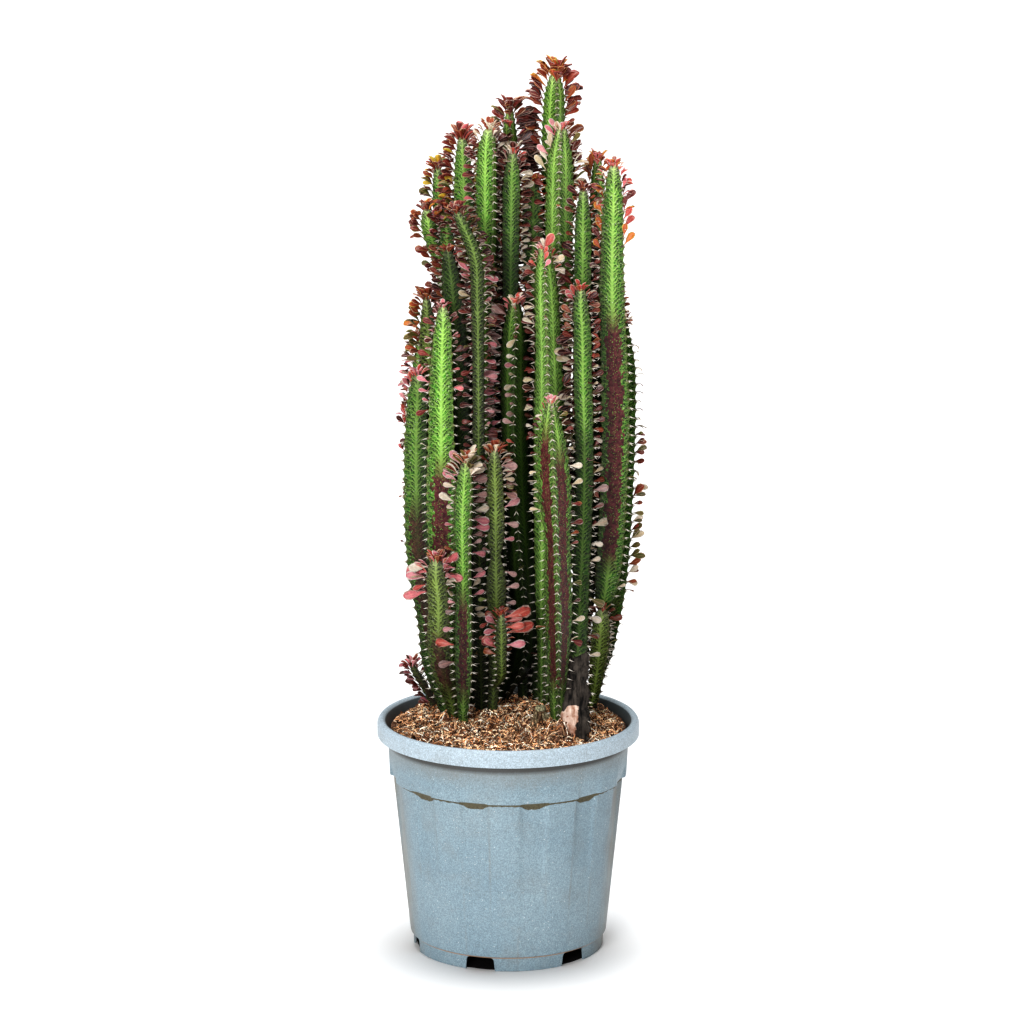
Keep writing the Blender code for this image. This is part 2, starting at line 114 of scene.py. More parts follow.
# %% [markdown]
# ## Light
# Two broad, soft lights: a strong one from the ceiling, and a lower one like a window in front
# and to the left. The white room adds a little from all round. So the pale floor goes white, the
# faces of the stems keep some shape, and the gaps between them stay dark.


# %% Lights and room
def broad_light(name, tilt, turn, softness, strength):
    """A far soft light; tilt is from straight above towards the front, turn is to the right."""
    data = bpy.data.lights.new(name, "SUN")
    data.angle = math.radians(softness)
    data.energy = strength
    lamp = bpy.data.objects.new(name, data)
    lamp.rotation_euler = (math.radians(tilt), 0.0, math.radians(turn))
    bpy.context.scene.collection.objects.link(lamp)


broad_light("ceiling_light", -6.0, 0.0, 34.0, 2.8)
broad_light("window_light", 74.0, -20.0, 26.0, 2.0)

world = bpy.data.worlds.new("white_room")
world.use_nodes = True
room = world.node_tree.nodes["Background"]
room.inputs["Color"].default_value = (1.0, 1.0, 1.0, 1.0)
room.inputs["Strength"].default_value = 0.22
bpy.context.scene.world = world
view = bpy.context.scene.view_settings
view.view_transform = "Standard"
view.look = "Medium High Contrast"
view.exposure = 0.0

# %% [markdown]
# ## Pieces from lists of points
# Every piece here is worked out as points and faces in plain numbers, because a plant's shape
# follows rules (rings, teeth, spirals) that are easier to write than to draw. Many pieces are
# tubes: rows of points that go all the way round, joined by quads.


# %% Mesh helpers
def make_piece(name, points, faces, material, smooth=True):
    """A mesh object from arrays of points and faces, in metres."""
    mesh = bpy.data.meshes.new(name)
    mesh.from_pydata(np.asarray(points).tolist(), [], [list(face) for face in faces])
    mesh.materials.append(material)
    if smooth:
        mesh.shade_smooth()
    piece = bpy.data.objects.new(name, mesh)
    bpy.context.scene.collection.objects.link(piece)
    return piece


def paint(piece, name, values):
    """Stores a number, a vector or a colour on every point, for the material to read."""
    values = np.asarray(values, dtype=np.float32)
    width = 1 if values.ndim == 1 else values.shape[1]
    kind, field = {1: ("FLOAT", "value"), 3: ("FLOAT_VECTOR", "vector"),
                   4: ("FLOAT_COLOR", "color")}[width]
    attribute = piece.data.attributes.new(name, kind, "POINT")
    attribute.data.foreach_set(field, values.ravel())


def triangles(piece):
    return sum(len(face.vertices) - 2 for face in piece.data.polygons)


def face_outwards(piece, join=None):
    """Turns all faces outwards; join first merges points that are closer than that."""
    bm = bmesh.new()
    bm.from_mesh(piece.data)
    if join:
        bmesh.ops.remove_doubles(bm, verts=bm.verts, dist=join)
    bmesh.ops.recalc_face_normals(bm, faces=bm.faces)
    bm.to_mesh(piece.data)
    bm.free()


# %% Rings and tubes
def ring_faces(rows, columns, start=0):
    """Quads between the rows of a grid whose columns go all the way round."""
    row, column = np.meshgrid(np.arange(rows - 1), np.arange(columns), indexing="ij")
    following = (column + 1) % columns
    low, high = start + row * columns, start + (row + 1) * columns
    quads = np.stack([low + column, low + following, high + following, high + column], axis=-1)
    return quads.reshape(-1, 4).tolist()


def tube_faces(rows, columns, start=0):
    """The same, with a face across each end."""
    last = start + (rows - 1) * columns
    return ring_faces(rows, columns, start) + [list(range(start, start + columns))[::-1],
                                               list(range(last, last + columns))]


# %% [markdown]
# ## Floor
# The floor is a wide sheet of matt studio paper, so wide that no view sees its edge. It is only
# the stage, not a part of the object.

# %% Floor
FLOOR_HALF = 150
paper, tree, shader = new_material("studio_paper_matt")
grain = add(tree, "TexNoise", {"Scale": 40.0, "Detail": 2.0})
shade = add(tree, "Mix", {0: grain, 6: rgba("fafafa"), 7: rgba("f6f6f6")}, 2, data_type="RGBA")
tree.links.new(shade, shader.inputs["Base Color"])
shader.inputs["Roughness"].default_value = 0.9
shader.inputs["Specular IOR Level"].default_value = 0.2
floor = make_piece("studio_floor", [(x * FLOOR_HALF, y * FLOOR_HALF, 0)
                                    for x, y in ((-1, -1), (1, -1), (1, 1), (-1, 1))],
                   [(0, 1, 2, 3)], paper)

# %% [markdown]
# ## The pot's plastic
# The pot is moulded polypropylene, blue-grey, with a granite speckle of white and dark grains
# mixed into the melt. Moulding leaves it smooth but not shiny, so the gloss is broad. Soil has
# dried along the collar's foot, and that band is also a painted shadow of the collar; painted
# shade darkens the wall under the lip, the pot's two sides, its inner wall and the underside of
# its floor, and the lip is painted lighter as painted light. The real grains are about half a
# millimetre; they are drawn nearer one millimetre so that they show.

# %% Pot material
RIM_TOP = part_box("pot")[1].z
LIP_FOOT = RIM_TOP - 0.022
FLUTES = 12
FIRST_FLUTE = math.radians(-107.0)
COLLAR_FOOT = 0.2305
SEAM_HEIGHT = 0.0188

pot_plastic, tree, shader = new_material("polypropylene_moulded_granite")
place = add(tree, "TexCoord", out=3)
apart = add(tree, "SeparateXYZ", {0: place}).node
# broad cloudiness of the pigment, then the granite in grains of 1.5 and 4 mm
cloud = add(tree, "TexNoise", {"Vector": place, "Scale": 9.0, "Detail": 3.0})
fine = add(tree, "TexNoise", {"Vector": place, "Scale": 640.0, "Detail": 1.0, "Roughness": 0.7})
mid = add(tree, "TexNoise", {"Vector": place, "Scale": 260.0, "Detail": 2.0})
base = add(tree, "Mix", {0: cloud, 6: rgba("6b8492"), 7: rgba("8ea0a8")}, 2, data_type="RGBA")
# painted light: the lip, the top of the pot, is painted a paler blue-grey
lip_painted_light = add(tree, "MapRange", {0: apart.outputs[2], 1: LIP_FOOT - 0.0005, 2: LIP_FOOT + 0.0005})
base = add(tree, "Mix", {0: lip_painted_light, 6: base, 7: rgba("a9b8c2")}, 2, data_type="RGBA")
fine_range = add(tree, "MapRange", {0: fine, 1: 0.35, 2: 0.68, 3: 0.76, 4: 1.27})
mid_range = add(tree, "MapRange", {0: mid, 1: 0.3, 2: 0.7, 3: 0.95, 4: 1.05})
grains = add(tree, "Math", {0: fine_range, 1: mid_range}, operation="MULTIPLY")
base = add(tree, "VectorMath", {0: base, "Scale": grains}, operation="SCALE")
# single pale and dark grains: colour, scale, and how large a grain is in its cell
for code, scale, limit in (("f4f8fa", 400.0, 0.13), ("4f6270", 400.0, 0.12),
                           ("ffffff", 190.0, 0.045)):
    cell = add(tree, "TexVoronoi", {"Vector": place, "Scale": scale, "Randomness": 1.0})
    pick = add(tree, "SeparateXYZ", {0: cell.node.outputs[1]})
    dot = add(tree, "MapRange", {0: cell, 1: limit, 2: limit + 0.09, 3: 1.0, 4: 0.0})
    chosen = add(tree, "Math", {0: pick, 1: 0.55}, operation="GREATER_THAN")
    dot = add(tree, "Math", {0: dot, 1: chosen}, operation="MULTIPLY")
    dot = add(tree, "Math", {0: dot, 1: 0.65}, operation="MULTIPLY")
    base = add(tree, "Mix", {0: dot, 6: base, 7: rgba(code)}, 2, data_type="RGBA")
# dried soil and a painted shadow of the collar: a band below the collar, its lower edge dipping at
# every flute, where the shadow reaches further into the recess
turn = add(tree, "Math", {0: apart.outputs[1], 1: apart.outputs[0]}, operation="ARCTAN2")
turn = add(tree, "Math", {0: turn, 1: -FIRST_FLUTE}, operation="ADD")
wave = add(tree, "Math", {0: turn, 1: float(FLUTES)}, operation="MULTIPLY")
wave = add(tree, "Math", {0: wave}, operation="COSINE")
dip = add(tree, "MapRange", {0: wave, 1: -0.1, 2: 0.85, 3: 0.0021, 4: 0.0078},
          interpolation_type="SMOOTHSTEP")
ragged = add(tree, "TexNoise", {"Vector": place, "Scale": 180.0, "Detail": 4.0})
ragged = add(tree, "MapRange", {0: ragged, 3: -0.0012, 4: 0.0022})
depth = add(tree, "Math", {0: dip, 1: ragged}, operation="ADD")
below = add(tree, "Math", {0: COLLAR_FOOT - 0.001, 1: apart.outputs[2]}, operation="SUBTRACT")
inside = add(tree, "Math", {0: depth, 1: below}, operation="SUBTRACT")
band = add(tree, "MapRange", {0: inside, 1: 0.0, 2: 0.0006, 3: 0.0, 4: 1.0})
above = add(tree, "MapRange", {0: below, 1: -0.001, 2: 0.0, 3: 0.0, 4: 1.0})
band = add(tree, "Math", {0: band, 1: above}, operation="MULTIPLY")
soil_and_shadow_noise = add(tree, "TexNoise", {"Vector": place, "Scale": 420.0, "Detail": 3.0})
soil_and_collar_shadow = add(tree, "Mix", {0: soil_and_shadow_noise, 6: rgba("2c2a20"), 7: rgba("6d6650")}, 2, data_type="RGBA")
base = add(tree, "Mix", {0: band, 6: base, 7: soil_and_collar_shadow}, 2, data_type="RGBA")
# a thin tan seam where the foot ring starts
seam = add(tree, "Math", {0: apart.outputs[2], 1: SEAM_HEIGHT}, operation="SUBTRACT")
seam = add(tree, "Math", {0: seam}, operation="ABSOLUTE")
seam = add(tree, "MapRange", {0: seam, 1: 0.0006, 2: 0.0016, 3: 0.8, 4: 0.0})
base = add(tree, "Mix", {0: seam, 6: base, 7: rgba("a97a4c")}, 2, data_type="RGBA")
# brownish dust down the wall, and painted shade in a band under the lip
dust_noise = add(tree, "TexNoise", {"Vector": place, "Scale": 26.0, "Detail": 5.0,
                                    "Roughness": 0.65})
lip_gap = add(tree, "Math", {0: LIP_FOOT, 1: apart.outputs[2]}, operation="SUBTRACT")
lip_band_shade = add(tree, "MapRange", {0: lip_gap, 1: 0.002, 2: 0.034, 3: 0.7, 4: 0.0})
is_below = add(tree, "Math", {0: lip_gap, 1: 0.0}, operation="GREATER_THAN")
lip_band_shade = add(tree, "Math", {0: lip_band_shade, 1: is_below}, operation="MULTIPLY")
dust_and_shade = add(tree, "MapRange", {0: dust_noise, 1: 0.5, 2: 0.75, 3: 0.0, 4: 0.28})
dust_and_shade = add(tree, "Math", {0: dust_and_shade, 1: lip_band_shade}, operation="ADD")
# dust streaks and painted shade along the flutes' recessed edges
flute_edge = add(tree, "Math", {0: wave}, operation="ABSOLUTE")
flute_edge = add(tree, "MapRange", {0: flute_edge, 1: 0.0, 2: 0.22, 3: 1.0, 4: 0.0})
tall = add(tree, "Mapping", {0: place, 3: (1.0, 1.0, 0.15)})
flute_dust_and_shade = add(tree, "TexNoise", {"Vector": tall, "Scale": 60.0, "Detail": 4.0})
flute_dust_and_shade = add(tree, "MapRange", {0: flute_dust_and_shade, 1: 0.45, 2: 0.7, 3: 0.0, 4: 0.4})
under_collar = add(tree, "Math", {0: apart.outputs[2], 1: COLLAR_FOOT}, operation="LESS_THAN")
flute_dust_and_shade = add(tree, "Math", {0: flute_dust_and_shade, 1: flute_edge}, operation="MULTIPLY")
flute_dust_and_shade = add(tree, "Math", {0: flute_dust_and_shade, 1: under_collar}, operation="MULTIPLY")
dust_and_shade = add(tree, "Math", {0: dust_and_shade, 1: flute_dust_and_shade}, operation="ADD")
# painted shade: the pot's left and right sides, which turn away from the light, are darkened with
# the same colour, broken up by noise
side_shade = add(tree, "Math", {0: turn, 1: FIRST_FLUTE}, operation="ADD")
side_shade = add(tree, "Math", {0: side_shade}, operation="COSINE")
side_shade = add(tree, "Math", {0: side_shade}, operation="ABSOLUTE")
side_shade = add(tree, "MapRange", {0: side_shade, 1: 0.86, 2: 0.985, 3: 0.0, 4: 1.0})
side_shade_noise = add(tree, "TexNoise", {"Vector": tall, "Scale": 34.0, "Detail": 5.0})
side_shade_noise = add(tree, "MapRange", {0: side_shade_noise, 1: 0.38, 2: 0.6, 3: 0.15, 4: 0.8})
side_shade = add(tree, "Math", {0: side_shade, 1: side_shade_noise}, operation="MULTIPLY")
side_shade = add(tree, "Math", {0: side_shade, 1: under_collar}, operation="MULTIPLY")
dust_and_shade = add(tree, "Math", {0: dust_and_shade, 1: side_shade}, operation="ADD", use_clamp=True)
# dust and painted shade share one grey-brown colour
base = add(tree, "Mix", {0: dust_and_shade, 6: base, 7: rgba("7d7a72")}, 2, data_type="RGBA")
# painted shadow: a dark line under the lip's overhang
lip_shadow_line = add(tree, "MapRange", {0: lip_gap, 1: 0.0080, 2: 0.0135, 3: 0.85, 4: 0.0})
lip_shadow_line = add(tree, "Math", {0: lip_shadow_line, 1: is_below}, operation="MULTIPLY")
base = add(tree, "Mix", {0: lip_shadow_line, 6: base, 7: rgba("2b2723")}, 2, data_type="RGBA")
# painted shade: inside the pot the wall above the mix is darkened to a shaded grey
flat = add(tree, "CombineXYZ", {0: apart.outputs[0], 1: apart.outputs[1]})
radius = add(tree, "VectorMath", {0: flat}, 1, operation="LENGTH")
flare = add(tree, "MapRange", {0: apart.outputs[2], 1: 0.285, 2: 0.3015, 3: 0.0, 4: 0.005})
straight = add(tree, "Math", {0: radius, 1: flare}, operation="SUBTRACT")
inner_wall_shade_r = add(tree, "MapRange", {0: straight, 1: 0.1544, 2: 0.1552, 3: 1.0, 4: 0.0})
inner_wall_shade_z = add(tree, "MapRange", {0: apart.outputs[2], 1: 0.262, 2: 0.266, 3: 0.0, 4: 1.0})
inner_wall_shade = add(tree, "Math", {0: inner_wall_shade_r, 1: inner_wall_shade_z}, operation="MULTIPLY")
base = add(tree, "Mix", {0: inner_wall_shade, 6: base, 7: rgba("4c5559")}, 2, data_type="RGBA")
# painted shade: under the floor of the pot, where little light reaches, the plastic is near-black
under_floor_shade_r = add(tree, "Math", {0: radius, 1: 0.1209}, operation="LESS_THAN")
under_floor_shade_z = add(tree, "Math", {0: apart.outputs[2], 1: 0.0195}, operation="LESS_THAN")
under_floor_shade = add(tree, "Math", {0: under_floor_shade_r, 1: under_floor_shade_z}, operation="MULTIPLY")
base = add(tree, "Mix", {0: under_floor_shade, 6: base, 7: rgba("1a1613")}, 2, data_type="RGBA")
tree.links.new(base, shader.inputs["Base Color"])
rough = add(tree, "MapRange", {0: dust_noise, 1: 0.3, 2: 0.7, 3: 0.42, 4: 0.6})
rough = add(tree, "Mix", {0: band, 2: rough, 3: 0.95}, 0, data_type="FLOAT")
tree.links.new(rough, shader.inputs["Roughness"])
shader.inputs["IOR"].default_value = 1.49
bumps = add(tree, "Math", {0: fine, 1: band}, operation="ADD")
tree.links.new(add(tree, "Bump", {"Strength": 0.25, "Distance": 0.0006, "Height": bumps}),
               shader.inputs["Normal"])

# %% [markdown]
# ## The pot
# A pot like this is one turned profile: foot ring, tapered wall, a collar that steps out over
# the wall, and a hollow lip. Every corner is rounded by the mould, so each corner of the profile
# is given as a point and a rounding. The twelve flutes are pressed in afterwards by moving
# points, and the six drain slots are cut from the foot with rounded cutters. A lathe-like
# modifier would be quicker, but the flutes need the points one by one.


# %% Profile with fillets
def fillet(corners):
    """Rounds each (radius, height, fillet) corner of an open profile with a short arc."""
    line = []
    for index, (r, z, size) in enumerate(corners):
        here = Vector((r, z))
        if size == 0 or index in (0, len(corners) - 1):
            line.append(here)
            continue
        before = Vector(corners[index - 1][:2]) - here
        after = Vector(corners[index + 1][:2]) - here
        reach = min(size, before.length * 0.45, after.length * 0.45)
        start = here + before.normalized() * reach
        end = here + after.normalized() * reach
        for step in range(4):
            t = step / 3
            line.append(start * (1 - t) ** 2 + here * 2 * t * (1 - t) + end * t * t)
    return line


def split_long(line, longest):
    """Adds points so that no step of the profile is longer than this."""
    finer = [line[0]]
    for start, end in zip(line, line[1:]):
        pieces = max(1, math.ceil((end - start).length / longest))
        finer += [start.lerp(end, step / pieces) for step in range(1, pieces + 1)]
    return finer


# radius, height and rounding in mm: up the inside, over the lip, and down the outside
pot_corners = [
    (2, 15, 0), (118, 15, 3), (125.5, 26, 3), (129.5, 60, 0), (146, 221, 3), (150.5, 236, 3),
    (153.5, 283, 0), (159.0, 301.5, 2), (162.0, 305.5, 2.2), (166.6, 305.5, 2.6),
    (170, 300.5, 2.4), (170, 283.6, 1.2), (167.2, 283.6, 1.0), (167.2, 297, 1.5),
    (157.6, 297, 1.5), (156.6, 284, 0), (153.9, 230.6, 1.3), (148.9, 231.4, 1.0),
    (148.6, 221, 0), (132.3, 60, 0), (128.2, 20.5, 1.2), (124.6, 18.4, 1.0), (123.7, 0.2, 0.8),
    (120.5, 0.2, 0.8), (120.5, 12, 2), (2, 12, 0)]
LONGEST_STEP = 0.02
profile = split_long(fillet([(r * MM, z * MM, size * MM) for r, z, size in pot_corners]),
                     LONGEST_STEP)
outline = np.array([tuple(point) for point in profile])
print("pot profile points", len(outline))

# %% Turn the profile and press the flutes
POT_STEPS = 240
FLUTE_PITCH = 360 / FLUTES
FLUTE_HALF = 7.5
FLUTE_DEPTH = 5.0 * MM
FLUTE_FOOT, FLUTE_TOP = 0.06, 0.222
angles = np.arange(POT_STEPS) * 2 * math.pi / POT_STEPS + FIRST_FLUTE
radii, heights = outline[:, :1], outline[:, 1:]
pot_points = np.stack([radii * np.cos(angles), radii * np.sin(angles),
                       np.broadcast_to(heights, (len(outline), POT_STEPS))], axis=-1)
off_flute = (np.degrees(angles - FIRST_FLUTE) + FLUTE_PITCH / 2) % FLUTE_PITCH - FLUTE_PITCH / 2
press = np.clip(1 - (np.abs(off_flute) / FLUTE_HALF) ** 5, 0, 1)
reach = np.clip((heights - FLUTE_FOOT) / (FLUTE_TOP - FLUTE_FOOT), 0, 1) * (
    heights < COLLAR_FOOT + 0.002)
wall = (radii > 0.06) & (heights > FLUTE_FOOT)
share = 1 - FLUTE_DEPTH * press[None, :] * reach * wall / radii
pot_points[..., 0] *= share
pot_points[..., 1] *= share
pot = make_piece("pot_moulded", pot_points.reshape(-1, 3), tube_faces(len(outline), POT_STEPS),
                 pot_plastic)
face_outwards(pot)

# %% Drain slots
# where a slot starts, its length outwards, width, top and bottom, in mm
SLOT_START, SLOT_LENGTH, SLOT_WIDTH, SLOT_TOP, SLOT_BOTTOM = 107.5, 40, 36, 18.0, -6.0
SLOT_SPLAY = 1.12
cutters = []
for index in range(6):
    bm = bmesh.new()
    bmesh.ops.create_cube(bm, size=1.0)
    for vertex in bm.verts:
        splay = SLOT_SPLAY if vertex.co.z < 0 else 1.0
        vertex.co = ((SLOT_START + (vertex.co.x + 0.5) * SLOT_LENGTH) * MM,
                     vertex.co.y * SLOT_WIDTH * splay * MM,
                     (SLOT_TOP if vertex.co.z > 0 else SLOT_BOTTOM) * MM)
    tops = [edge for edge in bm.edges if abs(edge.verts[0].co.y - edge.verts[1].co.y) < 0.001
            and min(v.co.z for v in edge.verts) > 0.01]
    bmesh.ops.bevel(bm, geom=tops, offset=4.5 * MM, segments=5, profile=0.5, affect="EDGES")
    cutter_mesh = bpy.data.meshes.new(f"slot_{index}")
    bm.to_mesh(cutter_mesh)
    bm.free()
    cutter = bpy.data.objects.new(f"slot_{index}", cutter_mesh)
    cutter.rotation_euler.z = FIRST_FLUTE + index * math.pi / 3
    bpy.context.scene.collection.objects.link(cutter)
    cut = pot.modifiers.new("slot", "BOOLEAN")
    cut.operation = "DIFFERENCE"
    cut.object = cutter
    cutters.append(cutter)

# %% Apply the cuts
bpy.context.view_layer.update()
slotted = pot.evaluated_get(bpy.context.evaluated_depsgraph_get())
slotted_mesh = bpy.data.meshes.new_from_object(slotted)
pot.modifiers.clear()
pot.data = slotted_mesh
pot.data.shade_smooth()
pot.data.set_sharp_from_angle(angle=math.radians(38))
for cutter in cutters:
    bpy.data.objects.remove(cutter, do_unlink=True)
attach(pot, "root")
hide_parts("pot")
print("pot triangles", triangles(pot))

# %% [markdown]
# ## Bark and coir mix
# The pot is filled with coir and bark: reddish brown, a tangle of fine tan fibres with darker
# chips between. A bumpy ground is a polar grid pushed up and down by noise. On it lie thousands
# of modelled fibres and a thousand chips, because bump alone would leave the surface flat. Real
# coir is a quarter of a millimetre thick; here it is drawn about three times as thick, to show.

# %% Mix material
# one material for ground, fibres and chips: a loose piece brings its own colour in an attribute
mix_material, tree, shader = new_material("coir_and_bark_loose")
place = add(tree, "TexCoord", out=3)
stretch = add(tree, "Mapping", {0: place, 3: (1.0, 1.0, 0.4)})
tangle = add(tree, "TexNoise", {"Vector": stretch, "Scale": 190.0, "Detail": 6.0,
                                "Roughness": 0.7, "Distortion": 2.2})
strands = add(tree, "TexNoise", {"Vector": stretch, "Scale": 520.0, "Detail": 3.0,
                                 "Distortion": 3.0})
# painted shade: the gaps in the tangle go near-black
gaps = add(tree, "MapRange", {0: tangle, 1: 0.45, 2: 0.60})
dark = add(tree, "Mix", {0: gaps, 6: rgba("0d0604"), 7: rgba("c08c70")}, 2, data_type="RGBA")
lift = add(tree, "MapRange", {0: strands, 1: 0.5, 2: 0.68, 3: 0.0, 4: 0.8})
tint = add(tree, "Attribute", attribute_name="mix_colour")
ground = add(tree, "Mix", {0: lift, 6: dark, 7: rgba("b98a66")}, 2, data_type="RGBA")
# painted shade and highlight: loose pieces are darkened where the tangle noise is low and
# brightened up to twice where it is high
shade_and_highlight = add(tree, "MapRange", {0: tangle, 1: 0.44, 2: 0.54, 3: 0.04, 4: 2.0})
tinted = add(tree, "VectorMath", {0: tint, "Scale": shade_and_highlight}, operation="SCALE")
is_loose = add(tree, "Attribute", {}, 2, attribute_name="loose")
colour = add(tree, "Mix", {0: is_loose, 6: ground, 7: tinted}, 2, data_type="RGBA")
tree.links.new(colour, shader.inputs["Base Color"])
shader.inputs["Roughness"].default_value = 0.9
shader.inputs["Specular IOR Level"].default_value = 0.25
height = add(tree, "Math", {0: tangle, 1: strands}, operation="ADD")
tree.links.new(add(tree, "Bump", {"Strength": 0.8, "Distance": 0.0022, "Height": height}),
               shader.inputs["Normal"])

# %% Where the stems stand
STANDS_BELOW = 0.285
stem_names = [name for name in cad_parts
              if name.startswith(("stem_", "trunk_", "branch_", "shoot_"))
              and not name.endswith("_leaves")]
feet = []
for name in stem_names:
    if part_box(name)[0].z < STANDS_BELOW:
        near = [v.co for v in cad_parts[name].data.vertices if v.co.z < STANDS_BELOW]
        feet.append((sum(c.x for c in near) / len(near), sum(c.y for c in near) / len(near)))
print("stems that stand in the mix", len(feet))

# %% Height of the mix
EDGE_RADIUS = 0.1523
# mounds of mix: x, y, height and spread
MOUNDS = [(0.060, -0.070, 0.020, 0.012), (0.058, -0.034, 0.014, 0.012),
          (0.020, 0.005, 0.012, 0.038), (0.104, -0.02, 0.008, 0.02)]
# lumps: how high, how many to a metre, and where in the noise
LUMPS = [(0.0050, 38, 1.0), (0.0042, 95, 4.0), (0.0024, 240, 9.0)]
HEAP_HEIGHT, HEAP_SPREAD = 0.0055, 0.017


def ground_height(x, y):
    """Height of the mix: a low dome, heaped round the stems' feet, with lumps of three sizes."""
    radius = math.hypot(x, y)
    dome = 0.3005 - 0.0075 * (radius / 0.15) ** 2
    heap = max(math.exp(-((x - fx) ** 2 + (y - fy) ** 2) / (2 * HEAP_SPREAD ** 2))
               for fx, fy in feet)
    lumps = sum(high * noise.noise((x * many, y * many, z)) for high, many, z in LUMPS)
    edge = min(1.0, max(0.0, (EDGE_RADIUS - radius) / 0.012))
    mound = sum(size * math.exp(-((x - mx) ** 2 + (y - my) ** 2) / (2 * wide ** 2))
                for mx, my, size, wide in MOUNDS)
    return dome + HEAP_HEIGHT * heap + mound + lumps * (0.35 + 0.65 * edge)


# %% Ground
rows, columns = 66, 190
UNDERSIDE = 0.268
ground_points = []
for r in EDGE_RADIUS * (np.arange(1, rows + 1) / rows) ** 0.85:
    for a in np.arange(columns) * 2 * math.pi / columns:
        x, y = r * math.cos(a), r * math.sin(a)
        ground_points.append((x, y, ground_height(x, y)))
# two more rings close it below, out of sight
ground_points += [(r * math.cos(a), r * math.sin(a), z)
                  for r, z in ((0.1515, 0.270), (0.05, UNDERSIDE))
                  for a in np.arange(columns) * 2 * math.pi / columns]
ground_points += [(0, 0, ground_height(0, 0)), (0, 0, UNDERSIDE)]
top, bottom = len(ground_points) - 2, len(ground_points) - 1
last = (rows + 1) * columns
ground_faces = ring_faces(rows + 2, columns)
ground_faces += [(top, (k + 1) % columns, k)[::-1] for k in range(columns)]
ground_faces += [(bottom, last + k, last + (k + 1) % columns)[::-1] for k in range(columns)]
soil = make_piece("coir_ground", ground_points, [face[::-1] for face in ground_faces],
                  mix_material)
face_outwards(soil)
paint(soil, "mix_colour", np.ones((len(ground_points), 4)))
paint(soil, "loose", np.zeros(len(ground_points)))
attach(soil, "root")
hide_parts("soil")
print("ground triangles", triangles(soil))

# %% A place on the mix
rng = np.random.default_rng(5)
stub_low, stub_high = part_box("woody_stub")
stub_x, stub_y = 0.5 * (stub_low.x + stub_high.x), 0.5 * (stub_low.y + stub_high.y)
STUB_CLEAR = 0.015


def on_ground():
    """A random place on the mix that leaves the old stub clear."""
    while True:
        radius = 0.148 * math.sqrt(rng.uniform(0.0, 1.0))
        turn = rng.uniform(0, 2 * math.pi)
        x, y = radius * math.cos(turn), radius * math.sin(turn)
        if math.hypot(x - stub_x, y - stub_y) > STUB_CLEAR:
            return x, y


# %% Loose fibres
# each fibre is a bent three-sided tube that arches over the ground and thins to its ends
FIBRES, FIBRE_STEPS, FIBRE_LIMIT = 3200, 4, 0.150
FIBRE_SIDES = ((1, -0.5), (-1, -0.5), (0, 1.0))
FIBRE_COLOURS = [linear(code) for code in
                 ("f0c8a0", "e4b488", "cc9468", "f8e0c0", "a87048", "5a3822", "fdf0dc", "daa478")]
fibre_points, fibre_faces, fibre_colours = [], [], []
for _ in range(FIBRES):
    x, y = on_ground()
    heading = rng.uniform(0, 2 * math.pi)
    bend = rng.uniform(-0.9, 0.9)
    length = rng.uniform(7.0, 22.0) * MM
    thick = rng.uniform(0.32, 0.78) * MM
    lift_start, lift_end = rng.uniform(-0.4, 1.6, 2) * MM
    arch = rng.uniform(0.2, 4.2) * MM
    colour = np.array(FIBRE_COLOURS[rng.integers(len(FIBRE_COLOURS))]) * rng.uniform(0.3, 1.75)
    fibre_faces += tube_faces(FIBRE_STEPS + 1, 3, len(fibre_points))
    for step in range(FIBRE_STEPS + 1):
        t = step / FIBRE_STEPS
        if math.hypot(x, y) > FIBRE_LIMIT:
            x, y = x * FIBRE_LIMIT / math.hypot(x, y), y * FIBRE_LIMIT / math.hypot(x, y)
        z = ground_height(x, y) + lift_start * (1 - t) + lift_end * t + arch * 4 * t * (1 - t)
        side = (-math.sin(heading), math.cos(heading))
        slim = thick * (1.0 if 0 < step < FIBRE_STEPS else 0.5)
        for across, up in FIBRE_SIDES:
            fibre_points.append((x + side[0] * across * slim, y + side[1] * across * slim,
                                 z + up * slim))
            fibre_colours.append((*colour, 1.0))
        x += math.cos(heading) * length / FIBRE_STEPS
        y += math.sin(heading) * length / FIBRE_STEPS
        heading += bend / FIBRE_STEPS * 2
fibres = make_piece("coir_fibres", fibre_points, fibre_faces, mix_material, smooth=False)
paint(fibres, "mix_colour", fibre_colours)
paint(fibres, "loose", np.ones(len(fibre_points)))
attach(fibres, "root")
print("fibre triangles", triangles(fibres))

